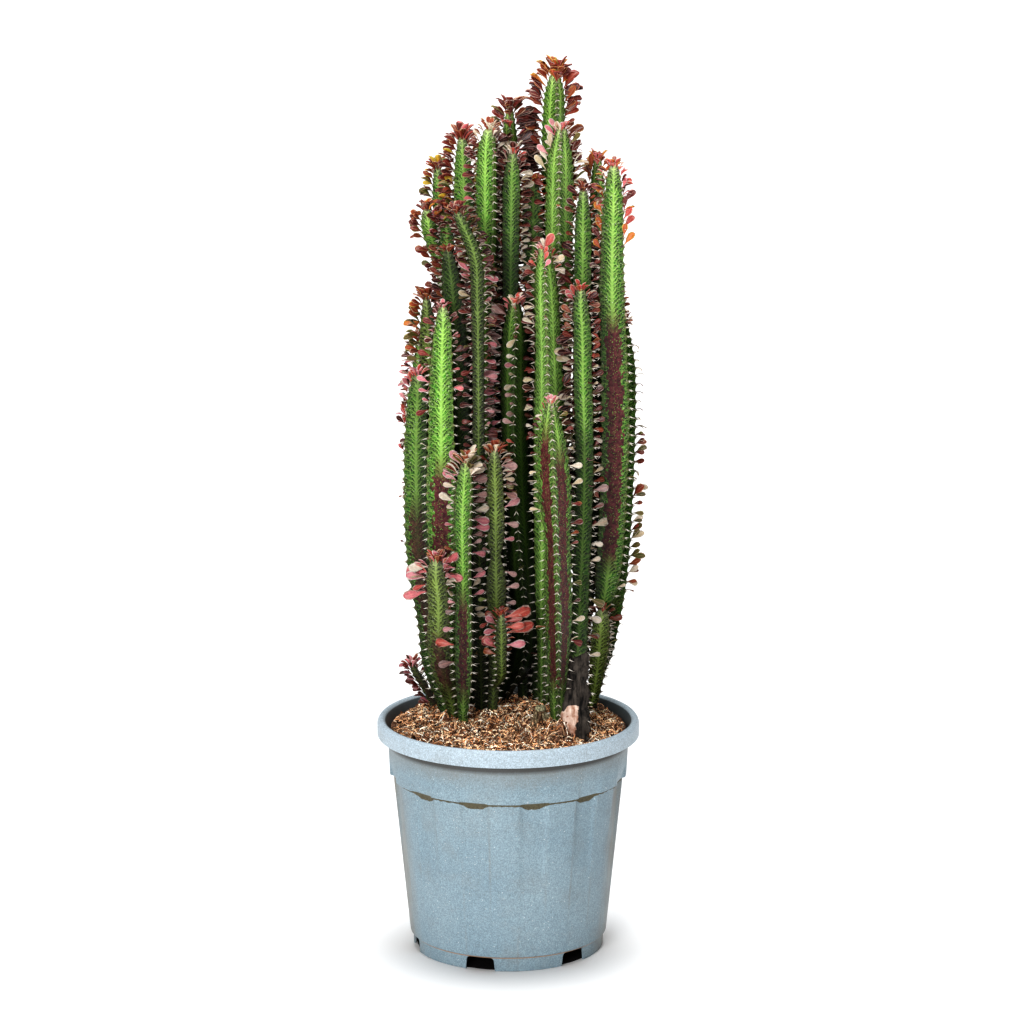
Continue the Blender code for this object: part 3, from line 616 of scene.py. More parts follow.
# %% Bark chips
# a chip is a six-sided splinter with uneven corners, tipped and half sunk
CHIPS = 1000
CHIP_CORNERS = ((-1, -1), (1, -1), (1, 1), (-1, 1))
CHIP_SIDES = [(0, 1, 2, 3), (7, 6, 5, 4), (0, 4, 5, 1), (1, 5, 6, 2), (2, 6, 7, 3), (3, 7, 4, 0)]
CHIP_COLOURS = [linear(code) for code in
                ("94684c", "b88660", "5a3a28", "cca078", "e2bc94", "2c1a10", "a0704e", "f4dcbc")]
chip_points, chip_faces, chip_colours = [], [], []
for _ in range(CHIPS):
    x, y = on_ground()
    x, y = x * 0.97, y * 0.97
    length, width, height = rng.uniform(3.0, 9.0), rng.uniform(1.5, 4.2), rng.uniform(0.8, 2.6)
    turn, tip, roll = rng.uniform(0, 2 * math.pi), rng.normal(0, 0.35), rng.normal(0, 0.35)
    z = ground_height(x, y) + rng.uniform(-0.2, 1.0) * MM
    start = len(chip_points)
    for up in (-1, 1):
        for a, b in CHIP_CORNERS:
            shape = Vector((a * length * rng.uniform(0.3, 0.6), b * width * rng.uniform(0.3, 0.6),
                            up * height * rng.uniform(0.35, 0.6)))
            shape = Vector((shape.x, shape.y, shape.z + shape.x * tip + shape.y * roll)) * MM
            chip_points.append((x + shape.x * math.cos(turn) - shape.y * math.sin(turn),
                                y + shape.x * math.sin(turn) + shape.y * math.cos(turn),
                                z + shape.z))
    chip_faces += [tuple(start + k for k in side)[::-1] for side in CHIP_SIDES]
    colour = np.array(CHIP_COLOURS[rng.integers(len(CHIP_COLOURS))]) * rng.uniform(0.3, 1.45)
    chip_colours += [(*colour, 1.0)] * 8
chips = make_piece("bark_chips", chip_points, chip_faces, mix_material, smooth=False)
paint(chips, "mix_colour", chip_colours)
paint(chips, "loose", np.ones(len(chip_points)))
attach(chips, "root")
print("chip triangles", triangles(chips))

# %% [markdown]
# ## A dark disc under the pot, as painted shade
# A near-black disc lies in the hollow of the foot ring, as painted shade under the pot. Without
# it, light would pass through the six slots; with it they look dark. It is a low bumpy disc, two
# millimetres high, that no view sees from above.

# %% Disc of painted shade under the pot
SHADE_DISC_RADIUS, SHADE_DISC_STEPS = 0.119, 60
shade_disc_profile = ((0.02, 0.0), (1.0, 0.0), (0.97, 1.2), (0.6, 2.2), (0.3, 1.8), (0.02, 2.0))
shade_disc_points = []
for r, z in shade_disc_profile:
    for a in np.arange(SHADE_DISC_STEPS) * math.pi / (SHADE_DISC_STEPS // 2):
        bump = 0.5 * noise.noise((r * 9 * math.cos(a), r * 9 * math.sin(a), z))
        shade_disc_points.append((SHADE_DISC_RADIUS * math.cos(a) * r, SHADE_DISC_RADIUS * math.sin(a) * r,
                              (0.5 + z + bump) * MM))
shade_disc = make_piece("shade_disc_under_pot", shade_disc_points,
                    tube_faces(len(shade_disc_profile), SHADE_DISC_STEPS), mix_material)
# painted shade: the disc is near-black
paint(shade_disc, "mix_colour", np.tile((*linear("0c0908"), 1.0), (len(shade_disc_points), 1)))
paint(shade_disc, "loose", np.ones(len(shade_disc_points)))
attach(shade_disc, "root")

# %% [markdown]
# ## Stem skin
# A euphorbia's green skin is a thin wax over living cells. Down the middle of each face runs a
# pale feather: a soft band with barbs that climb outwards to the ridges, three to a tooth, and
# dark green cells between them, netted with fine pale veins. Where the sun has caught a face it
# turns maroon. The pattern is worked out from three numbers stored on each point: how far it is
# from the middle of its face (0) to the ridge (1), how many barbs up the stem, and how maroon.

# %% Skin material
skin_material, tree, shader = new_material("stem_skin_waxed")
place = add(tree, "TexCoord", out=3)
skin = add(tree, "SeparateXYZ", {0: add(tree, "Attribute", {}, 1, attribute_name="skin")}).node
across, barbs, maroon = skin.outputs
family = add(tree, "Attribute", attribute_name="skin_colour")
edge_dry = add(tree, "Attribute", {}, 2, attribute_name="edge_dry")
bark = add(tree, "Attribute", {}, 2, attribute_name="bark")
blot = add(tree, "TexNoise", {"Vector": place, "Scale": 55.0, "Detail": 3.0})
wobble = add(tree, "TexNoise", {"Vector": place, "Scale": 210.0, "Detail": 2.0})
speck = add(tree, "TexNoise", {"Vector": place, "Scale": 700.0, "Detail": 2.0})
# barbs: the second number counts them, and already climbs outwards
phase = add(tree, "Math", {0: wobble, 1: 1.5, 2: barbs}, operation="MULTIPLY_ADD")
phase = add(tree, "Math", {0: blot, 1: 2.0, 2: phase}, operation="MULTIPLY_ADD")
saw = add(tree, "Math", {0: phase}, operation="FRACT")
saw = add(tree, "Math", {0: saw, 1: 0.5}, operation="SUBTRACT")
away = add(tree, "Math", {0: saw}, operation="ABSOLUTE")
half_width = add(tree, "MapRange", {0: across, 1: 0.0, 2: 0.9, 3: 0.17, 4: 0.07})
soft_edge = add(tree, "Math", {0: half_width, 1: 0.10}, operation="ADD")
barb = add(tree, "MapRange", {0: away, 1: half_width, 2: soft_edge, 3: 1.0, 4: 0.0},
           interpolation_type="SMOOTHSTEP")
barb_fade = add(tree, "MapRange", {0: across, 1: 0.25, 2: 0.95, 3: 1.0, 4: 0.6})
barb = add(tree, "Math", {0: barb, 1: barb_fade}, operation="MULTIPLY")
# the middle band, its edges frayed
fray = add(tree, "Math", {0: wobble, 1: 0.16, 2: across}, operation="MULTIPLY_ADD")
band = add(tree, "MapRange", {0: fray, 1: 0.10, 2: 0.40, 3: 0.9, 4: 0.0},
           interpolation_type="SMOOTHSTEP")
feather = add(tree, "Math", {0: barb, 1: band}, operation="MAXIMUM")
# fine net veins about three millimetres apart
net = add(tree, "TexVoronoi", {"Vector": place, "Scale": 330.0}, feature="DISTANCE_TO_EDGE")
vein = add(tree, "MapRange", {0: net, 1: 0.03, 2: 0.13, 3: 0.52, 4: 0.0})
feather = add(tree, "Math", {0: feather, 1: vein}, operation="MAXIMUM")
# colours: dark cells, the stem's own green, and the pale feather
cell_dark = add(tree, "VectorMath", {0: family, "Scale": 0.11}, operation="SCALE")
patch = add(tree, "MapRange", {0: wobble, 1: 0.46, 2: 0.66, 3: 0.0, 4: 0.9})
cell = add(tree, "Mix", {0: patch, 6: cell_dark, 7: family}, 2, data_type="RGBA")
pale = add(tree, "Mix", {0: 0.5, 6: family, 7: rgba("ccf07e")}, 2, data_type="RGBA")
pale = add(tree, "VectorMath", {0: pale, "Scale": 1.35}, operation="SCALE")
pale_amount = add(tree, "MapRange", {0: blot, 1: 0.3, 2: 0.7, 3: 0.7, 4: 1.0})
feather_amount = add(tree, "Math", {0: feather, 1: pale_amount}, operation="MULTIPLY")
green = add(tree, "Mix", {0: feather_amount, 6: cell, 7: pale}, 2, data_type="RGBA")
# painted shade: a face is darkened beside its ridges, where it turns away from the light
ridge_shade = add(tree, "MapRange", {0: across, 1: 0.35, 2: 0.9, 3: 1.0, 4: 0.62})
green = add(tree, "VectorMath", {0: green, "Scale": ridge_shade}, operation="SCALE")
# specks of dried spray and dust
spray = add(tree, "TexVoronoi", {"Vector": place, "Scale": 240.0})
spray = add(tree, "MapRange", {0: spray, 1: 0.10, 2: 0.19, 3: 0.7, 4: 0.0})
green = add(tree, "Mix", {0: spray, 6: green, 7: rgba("e4ecc8")}, 2, data_type="RGBA")
# the maroon stripe with its blocky, veined edge and pinkish flecks
block = add(tree, "TexVoronoi", {"Vector": place, "Scale": 230.0}, 1)
block_edge = add(tree, "SeparateXYZ", {0: block})
reach_in = add(tree, "MapRange", {0: block_edge, 1: 0.0, 2: 1.0, 3: 0.52, 4: 0.84})
in_stripe = add(tree, "Math", {0: reach_in, 1: across}, operation="SUBTRACT")
in_stripe = add(tree, "MapRange", {0: in_stripe, 1: 0.0, 2: 0.05, 3: 0.0, 4: 1.0})
flecked = add(tree, "MapRange", {0: speck, 1: 0.6, 2: 0.68, 3: 1.0, 4: 0.25})
stripe = add(tree, "Math", {0: in_stripe, 1: maroon}, operation="MULTIPLY")
stripe = add(tree, "Math", {0: stripe, 1: flecked}, operation="MULTIPLY")
mulled = add(tree, "MapRange", {0: wobble, 1: 0.35, 2: 0.65, 3: 0.0, 4: 0.8})
red = add(tree, "Mix", {0: mulled, 6: rgba("3c0f16"), 7: rgba("7d3a40")}, 2, data_type="RGBA")
skin_colour = add(tree, "Mix", {0: stripe, 6: green, 7: red}, 2, data_type="RGBA")
# ridge edges dry to straw at each pair of spines
dry = add(tree, "Mix", {0: speck, 6: rgba("6b4a34"), 7: rgba("c8b08c")}, 2, data_type="RGBA")
skin_colour = add(tree, "Mix", {0: edge_dry, 6: skin_colour, 7: dry}, 2, data_type="RGBA")
# old wood: grey-black with pale peeled streaks along the trunk
streaks = add(tree, "Mapping", {0: place, 3: (1.0, 1.0, 0.16)})
wood_noise = add(tree, "TexNoise", {"Vector": streaks, "Scale": 190.0, "Detail": 5.0,
                                    "Roughness": 0.65})
wood_contrast = add(tree, "MapRange", {0: wood_noise, 1: 0.38, 2: 0.66})
# the bark has torn off in flakes, so the peeled foot has a sharp, ragged edge
wood_low = add(tree, "Attribute", {}, 2, attribute_name="peeled")
torn = add(tree, "TexNoise", {"Vector": place, "Scale": 150.0, "Detail": 4.0})
torn = add(tree, "Math", {0: torn, 1: 0.9, 2: wood_low}, operation="MULTIPLY_ADD")
wood_low = add(tree, "MapRange", {0: torn, 1: 0.86, 2: 0.98, 3: 0.0, 4: 1.0})
grey = add(tree, "Mix", {0: wood_contrast, 6: rgba("0c0a09"), 7: rgba("585049")}, 2,
           data_type="RGBA")
peeled = add(tree, "Mix", {0: wood_contrast, 6: rgba("a4745c"), 7: rgba("f4dccb")}, 2,
             data_type="RGBA")
wood = add(tree, "Mix", {0: wood_low, 6: grey, 7: peeled}, 2, data_type="RGBA")
bark_edge = add(tree, "Math", {0: blot, 1: 0.9, 2: bark}, operation="MULTIPLY_ADD")
bark_mask = add(tree, "MapRange", {0: bark_edge, 1: 0.85, 2: 1.0, 3: 0.0, 4: 1.0})
skin_colour = add(tree, "Mix", {0: bark_mask, 6: skin_colour, 7: wood}, 2, data_type="RGBA")
# painted shade: the crowded inner faces of the clump are darkened by their share of open air; wood
# keeps most of its colour
clump_shade = add(tree, "Attribute", {}, 2, attribute_name="open_air")
clump_shade = add(tree, "Math", {0: clump_shade, 1: wood_low}, operation="MAXIMUM")
wood_light = add(tree, "Math", {0: bark_mask, 1: 0.8}, operation="MULTIPLY")
clump_shade = add(tree, "Math", {0: clump_shade, 1: wood_light}, operation="MAXIMUM")
skin_colour = add(tree, "VectorMath", {0: skin_colour, "Scale": clump_shade}, operation="SCALE")
tree.links.new(skin_colour, shader.inputs["Base Color"])
shader.inputs["Specular IOR Level"].default_value = 0.28
rough = add(tree, "MapRange", {0: wobble, 1: 0.3, 2: 0.7, 3: 0.42, 4: 0.58})
rough = add(tree, "Mix", {0: bark_mask, 2: rough, 3: 0.9}, 0, data_type="FLOAT")
tree.links.new(rough, shader.inputs["Roughness"])
shader.inputs["IOR"].default_value = 1.42
relief = add(tree, "Math", {0: feather, 1: 0.5, 2: speck}, operation="MULTIPLY_ADD")
relief = add(tree, "Mix", {0: bark_mask, 2: relief, 3: wood_noise}, 0, data_type="FLOAT")
tree.links.new(add(tree, "Bump", {"Strength": 0.5, "Distance": 0.0011, "Height": relief}),
               shader.inputs["Normal"])

# %% [markdown]
# ## Reading the CAD stems
# Each CAD stem is a loft of level rings of nine points: three crests, each between two shoulders.
# Grouping the mesh's points by height gives the rings back, and so the stem's centre line, its
# ridge radius and the directions of its ridges. A branch was cut where it leaves its parent, so
# only its whole rings are used and its foot is drawn into the parent's middle. Reading the rings
# is safer than copying numbers: when the CAD changes, the skin follows it.

# %% Rings of a stem
PARENTS = {"branch_front": "trunk_right", "branch_right": "trunk_right",
           "branch_upper_left": "stem_upper_left", "branch_rear_outer": "stem_rear_right",
           "shoot_middle": "stem_middle"}
RING_POINTS = 9
SAME_LEVEL = 2e-5


def level_rings(name):
    """From foot to tip: height, centre x and y, ridge radius; and the three ridge directions."""
    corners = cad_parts[name].data.vertices
    places = sorted({tuple(round(c, 6) for c in v.co) for v in corners}, key=lambda p: p[2])
    levels = []
    for place in places:
        if levels and place[2] - levels[-1][0][2] < SAME_LEVEL:
            levels[-1].append(place)
        else:
            levels.append([place])
    rings, ridges = [], None
    for level in levels:
        if len(level) != RING_POINTS:
            continue
        points = np.array(level)
        centre = points.mean(axis=0)
        offsets = points[:, :2] - centre[:2]
        reach = np.hypot(offsets[:, 0], offsets[:, 1])
        crests = np.argsort(reach)[-3:]
        rings.append((centre[2], centre[0], centre[1], reach[crests].mean()))
        ridges = sorted(math.atan2(offsets[k, 1], offsets[k, 0]) for k in crests)
    return np.array(rings), ridges


# %% A smooth line through the rings
def smooth_at(rings, heights):
    """Centre and radius at these heights, by a cubic curve through the rings."""
    z = rings[:, 0]
    slopes = np.gradient(rings[:, 1:], z, axis=0)
    index = np.clip(np.searchsorted(z, heights) - 1, 0, len(z) - 2)
    step = (z[index + 1] - z[index])[:, None]
    t = np.clip((heights - z[index])[:, None] / step, 0, 1)
    leaving = slopes[index] * (t ** 3 - 2 * t ** 2 + t)
    arriving = slopes[index + 1] * (t ** 3 - t ** 2)
    return (rings[index, 1:] * (2 * t ** 3 - 3 * t ** 2 + 1)
            + rings[index + 1, 1:] * (3 * t ** 2 - 2 * t ** 3) + step * (leaving + arriving))


# %% Read every stem and give the branches their feet
RUN_IN, RUN_IN_RADIUS = 0.016, 0.004
cad_rings = {name: level_rings(name) for name in stem_names}
for child, parent in PARENTS.items():
    rings, ridges = cad_rings[child]
    low_z = rings[0, 0] - RUN_IN
    centre = smooth_at(cad_rings[parent][0], np.array([low_z]))[0]
    foot = np.array([[low_z, centre[0], centre[1], RUN_IN_RADIUS]])
    cad_rings[child] = (np.vstack([foot, rings]), ridges)
# the front branch is old: its foot runs down beside the trunk into the mound
rings, ridges = cad_rings["branch_front"]
old_foot = np.array([[0.300, 0.064, -0.066, 0.009], [0.335, 0.063, -0.069, 0.011]])
cad_rings["branch_front"] = (np.vstack([old_foot, rings[rings[:, 0] > 0.39]]), ridges)
print("stems", len(cad_rings), "rings", sum(len(rings) for rings, _ in cad_rings.values()))

# %% [markdown]
# ## Growing a stem
# A finer ring has eight points to a ridge: the crest, three down each side of the wing and the
# middle of the face. Rings are a fifth of a tooth apart, and each ridge's teeth start at another
# fifth, as on the plant, where the teeth stand in a spiral. Teeth are close together at the
# growing tip and about twelve millimetres apart lower down.

# %% Section and teeth
# share of the radius along the ridge, share across it, distance from the face's middle, and how
# much of a tooth's push and of the ridge's sway a point takes
SECTION = [(1.0, 0.0, 1.0, 1.0, 1.0), (0.955, 0.055, 0.93, 0.85, 0.9),
           (0.79, 0.118, 0.8, 0.32, 0.4), (0.585, 0.215, 0.62, 0.08, 0.1),
           (0.235, 0.407, 0.0, 0.0, 0.0)]
PER_RIDGE = 8
AROUND = 3 * PER_RIDGE
TOOTH = (1.0, 0.10, 0.0, 0.28, 0.68)
PER_TOOTH = len(TOOTH)
TOOTH_START = (0, 2, 4)
TOOTH_HEIGHT = 2.9 * MM
YOUNG_PITCH = 4.6 * MM
BARB_CLIMB = math.tan(math.radians(38.0))


def ring_depths(length, wide):
    """How far below the tip each ring lies; a wide stem has its teeth further apart."""
    depths, depth = [], 0.0
    full = (8.8 + 0.2 * wide / MM) * MM
    while depth < length:
        depths.append(depth)
        pitch = full - (full - YOUNG_PITCH) * math.exp(-depth / 0.034)
        depth += pitch / PER_TOOTH
    return np.array(depths)


# %% [markdown]
# ## The skins of the clump
# The stems are not one green. Young ones in the open are bright or pale, older ones deep green or
# olive, and some faces have turned maroon in the sun. A table says which stem has which green,
# and a second one which face is maroon, and from where to where.

# %% Which skins
FAMILIES = {"fresh": "479c26", "deep": "32821e", "olive": "5f6c22", "pale": "7cb858",
            "shade": "27340f"}
SKINS = {stem: family for family, stems in (
    ("fresh", "stem_front_left stem_left stem_centre trunk_right stem_outer_right stem_inner "
              "stem_top_left stem_upper_left stem_far_left branch_right branch_upper_left "
              "stem_far_left_back"),
    ("deep", "stem_outer_left stem_left_inner stem_right stem_right_inner stem_right_back "
             "stem_top_slim stem_back_slim stem_tallest branch_front"),
    ("olive", "stem_low_left stem_middle stem_left_low shoot_far_left shoot_middle "
              "shoot_low_right"),
    ("pale", "stem_front_tall stem_top_broad"),
    ("shade", "stem_leaning")) for stem in stems.split()}

# %% Which maroon faces
# stem, direction of the face in degrees, from and to in millimetres of height, strength
MAROON = [
    ("stem_right", -90, 490, 850, 1.0), ("stem_left", -90, 480, 660, 1.0),
    ("stem_outer_left", -90, 380, 600, 0.9), ("stem_front_left", -160, 330, 500, 1.0),
    ("stem_front_left", -20, 330, 470, 0.8), ("stem_low_left", -90, 330, 440, 0.9),
    ("branch_front", -150, 350, 720, 1.0), ("branch_front", -30, 350, 690, 1.0),
    ("stem_outer_right", -90, 330, 470, 0.6), ("shoot_far_left", -90, 280, 360, 0.9),
    ("stem_far_left", -90, 560, 760, 0.5), ("stem_rear_tall", 110, 500, 800, 0.8),
    ("stem_rear_centre", 90, 420, 640, 0.7), ("stem_rear_low", 100, 400, 620, 0.7)]


def turn_maroon(skin, name, ridges, heights):
    """Writes the maroon share of each point into the third number of a stem's skin."""
    for stem, direction, low, high, strength in MAROON:
        if stem != name:
            continue
        middles = [angle + math.pi / 3 for angle in ridges]
        off = [abs((m - math.radians(direction) + math.pi) % (2 * math.pi) - math.pi)
               for m in middles]
        ridge = off.index(min(off))
        ramp = np.clip((heights - low * MM) / 0.03, 0, 1) * np.clip(
            (high * MM - heights) / 0.04, 0, 1)
        for step in range(1, PER_RIDGE):
            skin[:, (ridge * PER_RIDGE + step) % AROUND, 2] = strength * ramp


# %% Green from tip to foot
def stem_colour(name, depths, heights):
    """From the pale tip through the stem's own green to the darker foot, one colour a ring."""
    family = SKINS.get(name, ("fresh", "deep")[len(name) % 2])
    own = np.array(linear(FAMILIES[family]))
    own = own * rng.uniform(0.9, 1.1)
    tip_colour = np.array(linear("cdd2ac"))
    young = np.array(linear("66702a" if family == "olive" else "5a9632"))
    old = own * np.array((0.62, 0.55, 0.55))
    t_tip = np.exp(-(depths / 0.010) ** 1.4)[:, None]
    t_young = np.exp(-depths / 0.055)[:, None] * 0.75
    t_old = np.clip((0.47 - heights) / 0.2, 0, 1)[:, None]
    colour = own * (1 - t_young) + young * t_young
    colour = colour * (1 - t_old) + old * t_old
    return colour * (1 - t_tip) + tip_colour * t_tip


# %% [markdown]
# ## Air and shade inside the clump
# Between crowded stems little light gets in, so the skin there is given painted shade. The lights
# alone leave those places too bright, so the share of open air is worked out for each point, from
# how near its neighbours are and whether it faces them, and is painted into the colour as shade.
# It depends on the plant only, never on the view.

# %% Shaded and foremost stems
# stems inside the clump: lit above this height in metres, and how dark they are below it
SHADED = {"stem_centre": (0.79, 0.36), "trunk_right": (0.67, 0.42),
          "stem_left_inner": (0.90, 0.30), "stem_leaning": (0.99, 0.55),
          "stem_inner": (0.90, 0.45), "stem_right_inner": (1.2, 0.35),
          "stem_rear_tall": (1.2, 0.6), "stem_rear_left": (1.2, 0.6),
          "stem_rear_slim": (1.2, 0.5), "stem_rear_centre": (1.2, 0.5),
          "stem_middle": (0.55, 0.6), "stem_right_back": (0.93, 0.6)}
# stems in front of all others, which their neighbours hardly shade
FOREMOST = ("stem_front_tall", "branch_front", "stem_left", "stem_top_broad",
            "shoot_low_right")
NEIGHBOUR_REACH = 0.10


# %% How open to the air each side of a stem is
def open_air(name, heights, centres, ways):
    """1 where a point of a stem faces the open, towards 0 where it faces close neighbours."""
    blocked = np.zeros(ways.shape[:2])
    for other, (rings, _) in cad_rings.items():
        if other == name:
            continue
        there = smooth_at(rings, np.clip(heights, rings[0, 0], rings[-1, 0]))
        present = np.clip((rings[-1, 0] - heights) / 0.035, 0, 1) * (heights > rings[0, 0])
        towards = there[:, :2] - centres
        apart = np.maximum(np.linalg.norm(towards, axis=1), 0.01)
        weight = present * np.maximum(there[:, 2], 0.008) / apart * np.exp(
            -apart / NEIGHBOUR_REACH)
        facing = (ways * (towards / apart[:, None])[:, None, :]).sum(axis=2)
        blocked += weight[:, None] * (0.12 + 0.88 * np.clip(facing, 0, 1))
    return np.exp(-(0.45 if name in FOREMOST else 2.1) * blocked)


def shaded_air(name, heights, centres, ways):
    """The open air of a stem, less in the clump's lower third and inside the clump."""
    air = open_air(name, heights, centres, ways)
    if name == "shoot_low_right":
        air *= 0.7
    else:
        air *= 0.34 + 0.66 * np.clip((heights - 0.33) / 0.30, 0, 1)[:, None]
    if name in SHADED:
        lit_from, share = SHADED[name]
        air *= share + (1 - share) * np.clip((heights - lit_from) / 0.03, 0, 1)[:, None]
    return air


# %% [markdown]
# ## The old trunk's wood
# One stem at the right is old: its foot has turned to grey-black wood, swollen, torn and knobbly,
# and at the front the bark has come off and shows pale wood. Noise pushes the points in and out,
# and another noise says where the bark is gone.

# %% Torn bark and the peeled place
def tear_bark(points, centres, heights):
    """Pushes the points of the lower trunk in and out by noise in two sizes."""
    for row in np.nonzero(heights < 0.42)[0]:
        for column in range(AROUND):
            x, y, z = points[row, column]
            rough = noise.noise((x * 130, y * 130, z * 130)) + 0.6 * noise.noise(
                (x * 330, y * 330, z * 330))
            points[row, column, :2] += (points[row, column, :2] - centres[row]) * 0.28 * rough


def peel_trunk(peeled, points, ways, heights):
    """Marks where the bark has come off, in front and to the left."""
    for row in np.nonzero(heights < 0.36)[0]:
        for column in range(AROUND):
            x, y, z = points[row, column]
            top = 0.337 + 0.016 * noise.noise((x * 90, y * 90, z * 30))
            right = 0.50 + 0.7 * noise.noise((x * 70, y * 70, z * 70 + 5))
            peeled[row, column] = np.clip((top - z) / 0.004, 0, 1) * np.clip(
                (right - ways[row, column, 0]) / 0.15, 0, 1)


# %% Shape of one stem
def wing_section(name, ridges, depths, heights, state):
    """Points, skin numbers and dried edges of all rings, the centres, and a note of each tooth."""
    centres, radius = state[:, :2], state[:, 2].copy()
    wide = np.median(cad_rings[name][0][:, 3])
    # the growing tip is a small dome
    radius *= np.sqrt(np.clip(1 - (1 - np.clip(depths / 0.0065, 0, 1)) ** 2, 0.02, 1))
    if name == "trunk_right":
        radius *= 1 + 0.3 * np.clip((0.41 - heights) / 0.03, 0, 1)
        radius *= 1 + 0.4 * np.clip((0.338 - heights) / 0.035, 0, 1)
    swing = math.radians(rng.uniform(2.0, 4.5)) * np.sin(heights * rng.uniform(9, 15)
                                                         + rng.uniform(0, 6))
    count = len(heights)
    tooth_size = TOOTH_HEIGHT * np.sqrt(np.clip(radius / 0.02, 0.05, 1.2)) * np.clip(
        depths / 0.012, 0.25, 1)
    number = np.arange(count)
    points = np.zeros((count, AROUND, 3))
    skin = np.zeros((count, AROUND, 3))
    dried = np.zeros((count, AROUND))
    lean = np.gradient(centres, heights, axis=0)
    teeth = []
    barb_gap = (4.6 + 0.085 * wide / MM) * MM
    for ridge, angle in enumerate(ridges):
        turn = angle + swing
        out = np.stack([np.cos(turn), np.sin(turn)], axis=1)
        aside = np.stack([-np.sin(turn), np.cos(turn)], axis=1)
        place_in_tooth = (-(number + TOOTH_START[ridge])) % PER_TOOTH
        bulge = np.take(TOOTH, place_in_tooth)
        vary = rng.uniform(0.75, 1.2, count)
        push = (bulge * vary - 0.45) * tooth_size
        sway = 0.55 * MM * np.sin(number * 2 * math.pi / PER_TOOTH / 2.0 + ridge * 2.1) * np.clip(
            radius / 0.02, 0, 1)
        for step, (along, across, u, pushed, swayed) in enumerate(SECTION):
            for sign in ((1,) if step == 0 else (1, -1)):
                column = (ridge * PER_RIDGE + sign * step) % AROUND
                reach_out = radius * along + push * pushed
                reach_side = radius * across * sign
                points[:, column, :2] = (centres + out * reach_out[:, None]
                                         + aside * (reach_side + sway * swayed)[:, None])
                points[:, column, 2] = heights
                skin[:, column, 0] = u
                skin[:, column, 1] = -(depths + 0.87 * radius * BARB_CLIMB * u) / barb_gap
                if step < 2:
                    dried[:, column] = np.where(place_in_tooth == 0, 0.9, 0.12) * (
                        1.0 if step == 0 else 0.55)
        for ring in np.nonzero(place_in_tooth == 0)[0]:
            if depths[ring] > 0.004:
                upwards = np.array([*lean[ring], 1.0]) / math.hypot(*lean[ring], 1.0)
                teeth.append({"ridge": ridge, "ring": ring, "depth": depths[ring],
                              "at": points[ring, ridge * PER_RIDGE],
                              "out": np.array([*out[ring], 0.0]),
                              "side": np.array([*aside[ring], 0.0]),
                              "up": upwards, "radius": radius[ring]})
    return points, skin, dried, centres, teeth


# %% Grow every stem
rng = np.random.default_rng(21)
MIX_LEVEL = 0.283
teeth_of = {}
stem_pieces = {}


def with_ends(values):
    """One row a point, with the values of the two closing points added."""
    flat = values.reshape(values.shape[0] * AROUND, *values.shape[2:])
    return np.concatenate([flat, flat[:1], flat[-1:]])


def grow(name):
    """Makes the piece of one stem, and keeps where its teeth are."""
    rings, ridges = cad_rings[name]
    tip_z = rings[-1, 0] + 0.0015
    depths = ring_depths(tip_z - max(rings[0, 0], MIX_LEVEL), np.median(rings[:, 3]))
    heights = tip_z - depths
    points, skin, dried, centres, teeth = wing_section(
        name, ridges, depths, heights, smooth_at(rings, heights))
    count = len(heights)
    if name == "trunk_right":
        tear_bark(points, centres, heights)
    ways = points[:, :, :2] - centres[:, None, :]
    ways /= np.maximum(np.linalg.norm(ways, axis=2, keepdims=True), 1e-6)
    air = shaded_air(name, heights, centres, ways)
    for tooth in teeth:
        tooth["air"] = air[tooth["ring"], tooth["ridge"] * PER_RIDGE]
    teeth_of[name] = teeth
    turn_maroon(skin, name, ridges, heights)
    colour = stem_colour(name, depths, heights)
    colours = np.concatenate([np.repeat(colour[:, None], AROUND, axis=1),
                              np.ones((count, AROUND, 1))], 2)
    # wood: the old trunk's lower part, and a corky collar on every other foot
    peeled = np.zeros((count, AROUND))
    if name == "trunk_right":
        bark = np.clip((0.43 - heights) / 0.05, 0, 1)
        peel_trunk(peeled, points, ways, heights)
    else:
        bark = np.clip((0.325 - heights) / 0.05, 0, 0.62)
    tip = count * AROUND
    low = tip - AROUND
    faces = [face[::-1] for face in ring_faces(count, AROUND)]
    faces += [(k, (k + 1) % AROUND, tip) for k in range(AROUND)]
    faces += [(low + (k + 1) % AROUND, low + k, tip + 1) for k in range(AROUND)]
    tip_points = [[*centres[0], tip_z + 0.0012], [*centres[-1], heights[-1]]]
    piece = make_piece(name + "_skin", np.vstack([points.reshape(-1, 3), tip_points]), faces,
                       skin_material)
    # open_air carries the painted shade of the clump to the skin
    for attribute, values in (("skin", skin), ("skin_colour", colours), ("edge_dry", dried),
                              ("open_air", 0.06 + 0.94 * air),
                              ("bark", np.repeat(bark[:, None], AROUND, 1)), ("peeled", peeled)):
        paint(piece, attribute, with_ends(values))
    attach(piece, "root")
    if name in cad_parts:
        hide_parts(name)
    stem_pieces[name] = piece


for name in stem_names:
    grow(name)
print("stem triangles", sum(triangles(piece) for piece in stem_pieces.values()))
print("teeth", sum(len(teeth) for teeth in teeth_of.values()))

# %% [markdown]
# ## Spines
# Under every leaf scar stands a pair of short thorns, pale as straw with a browner tip. They
# spread apart and point a little down. Each is a slim four-sided cone, closed at its base. There
# are over ten thousand, so they have few faces and are drawn a little thicker than real ones.

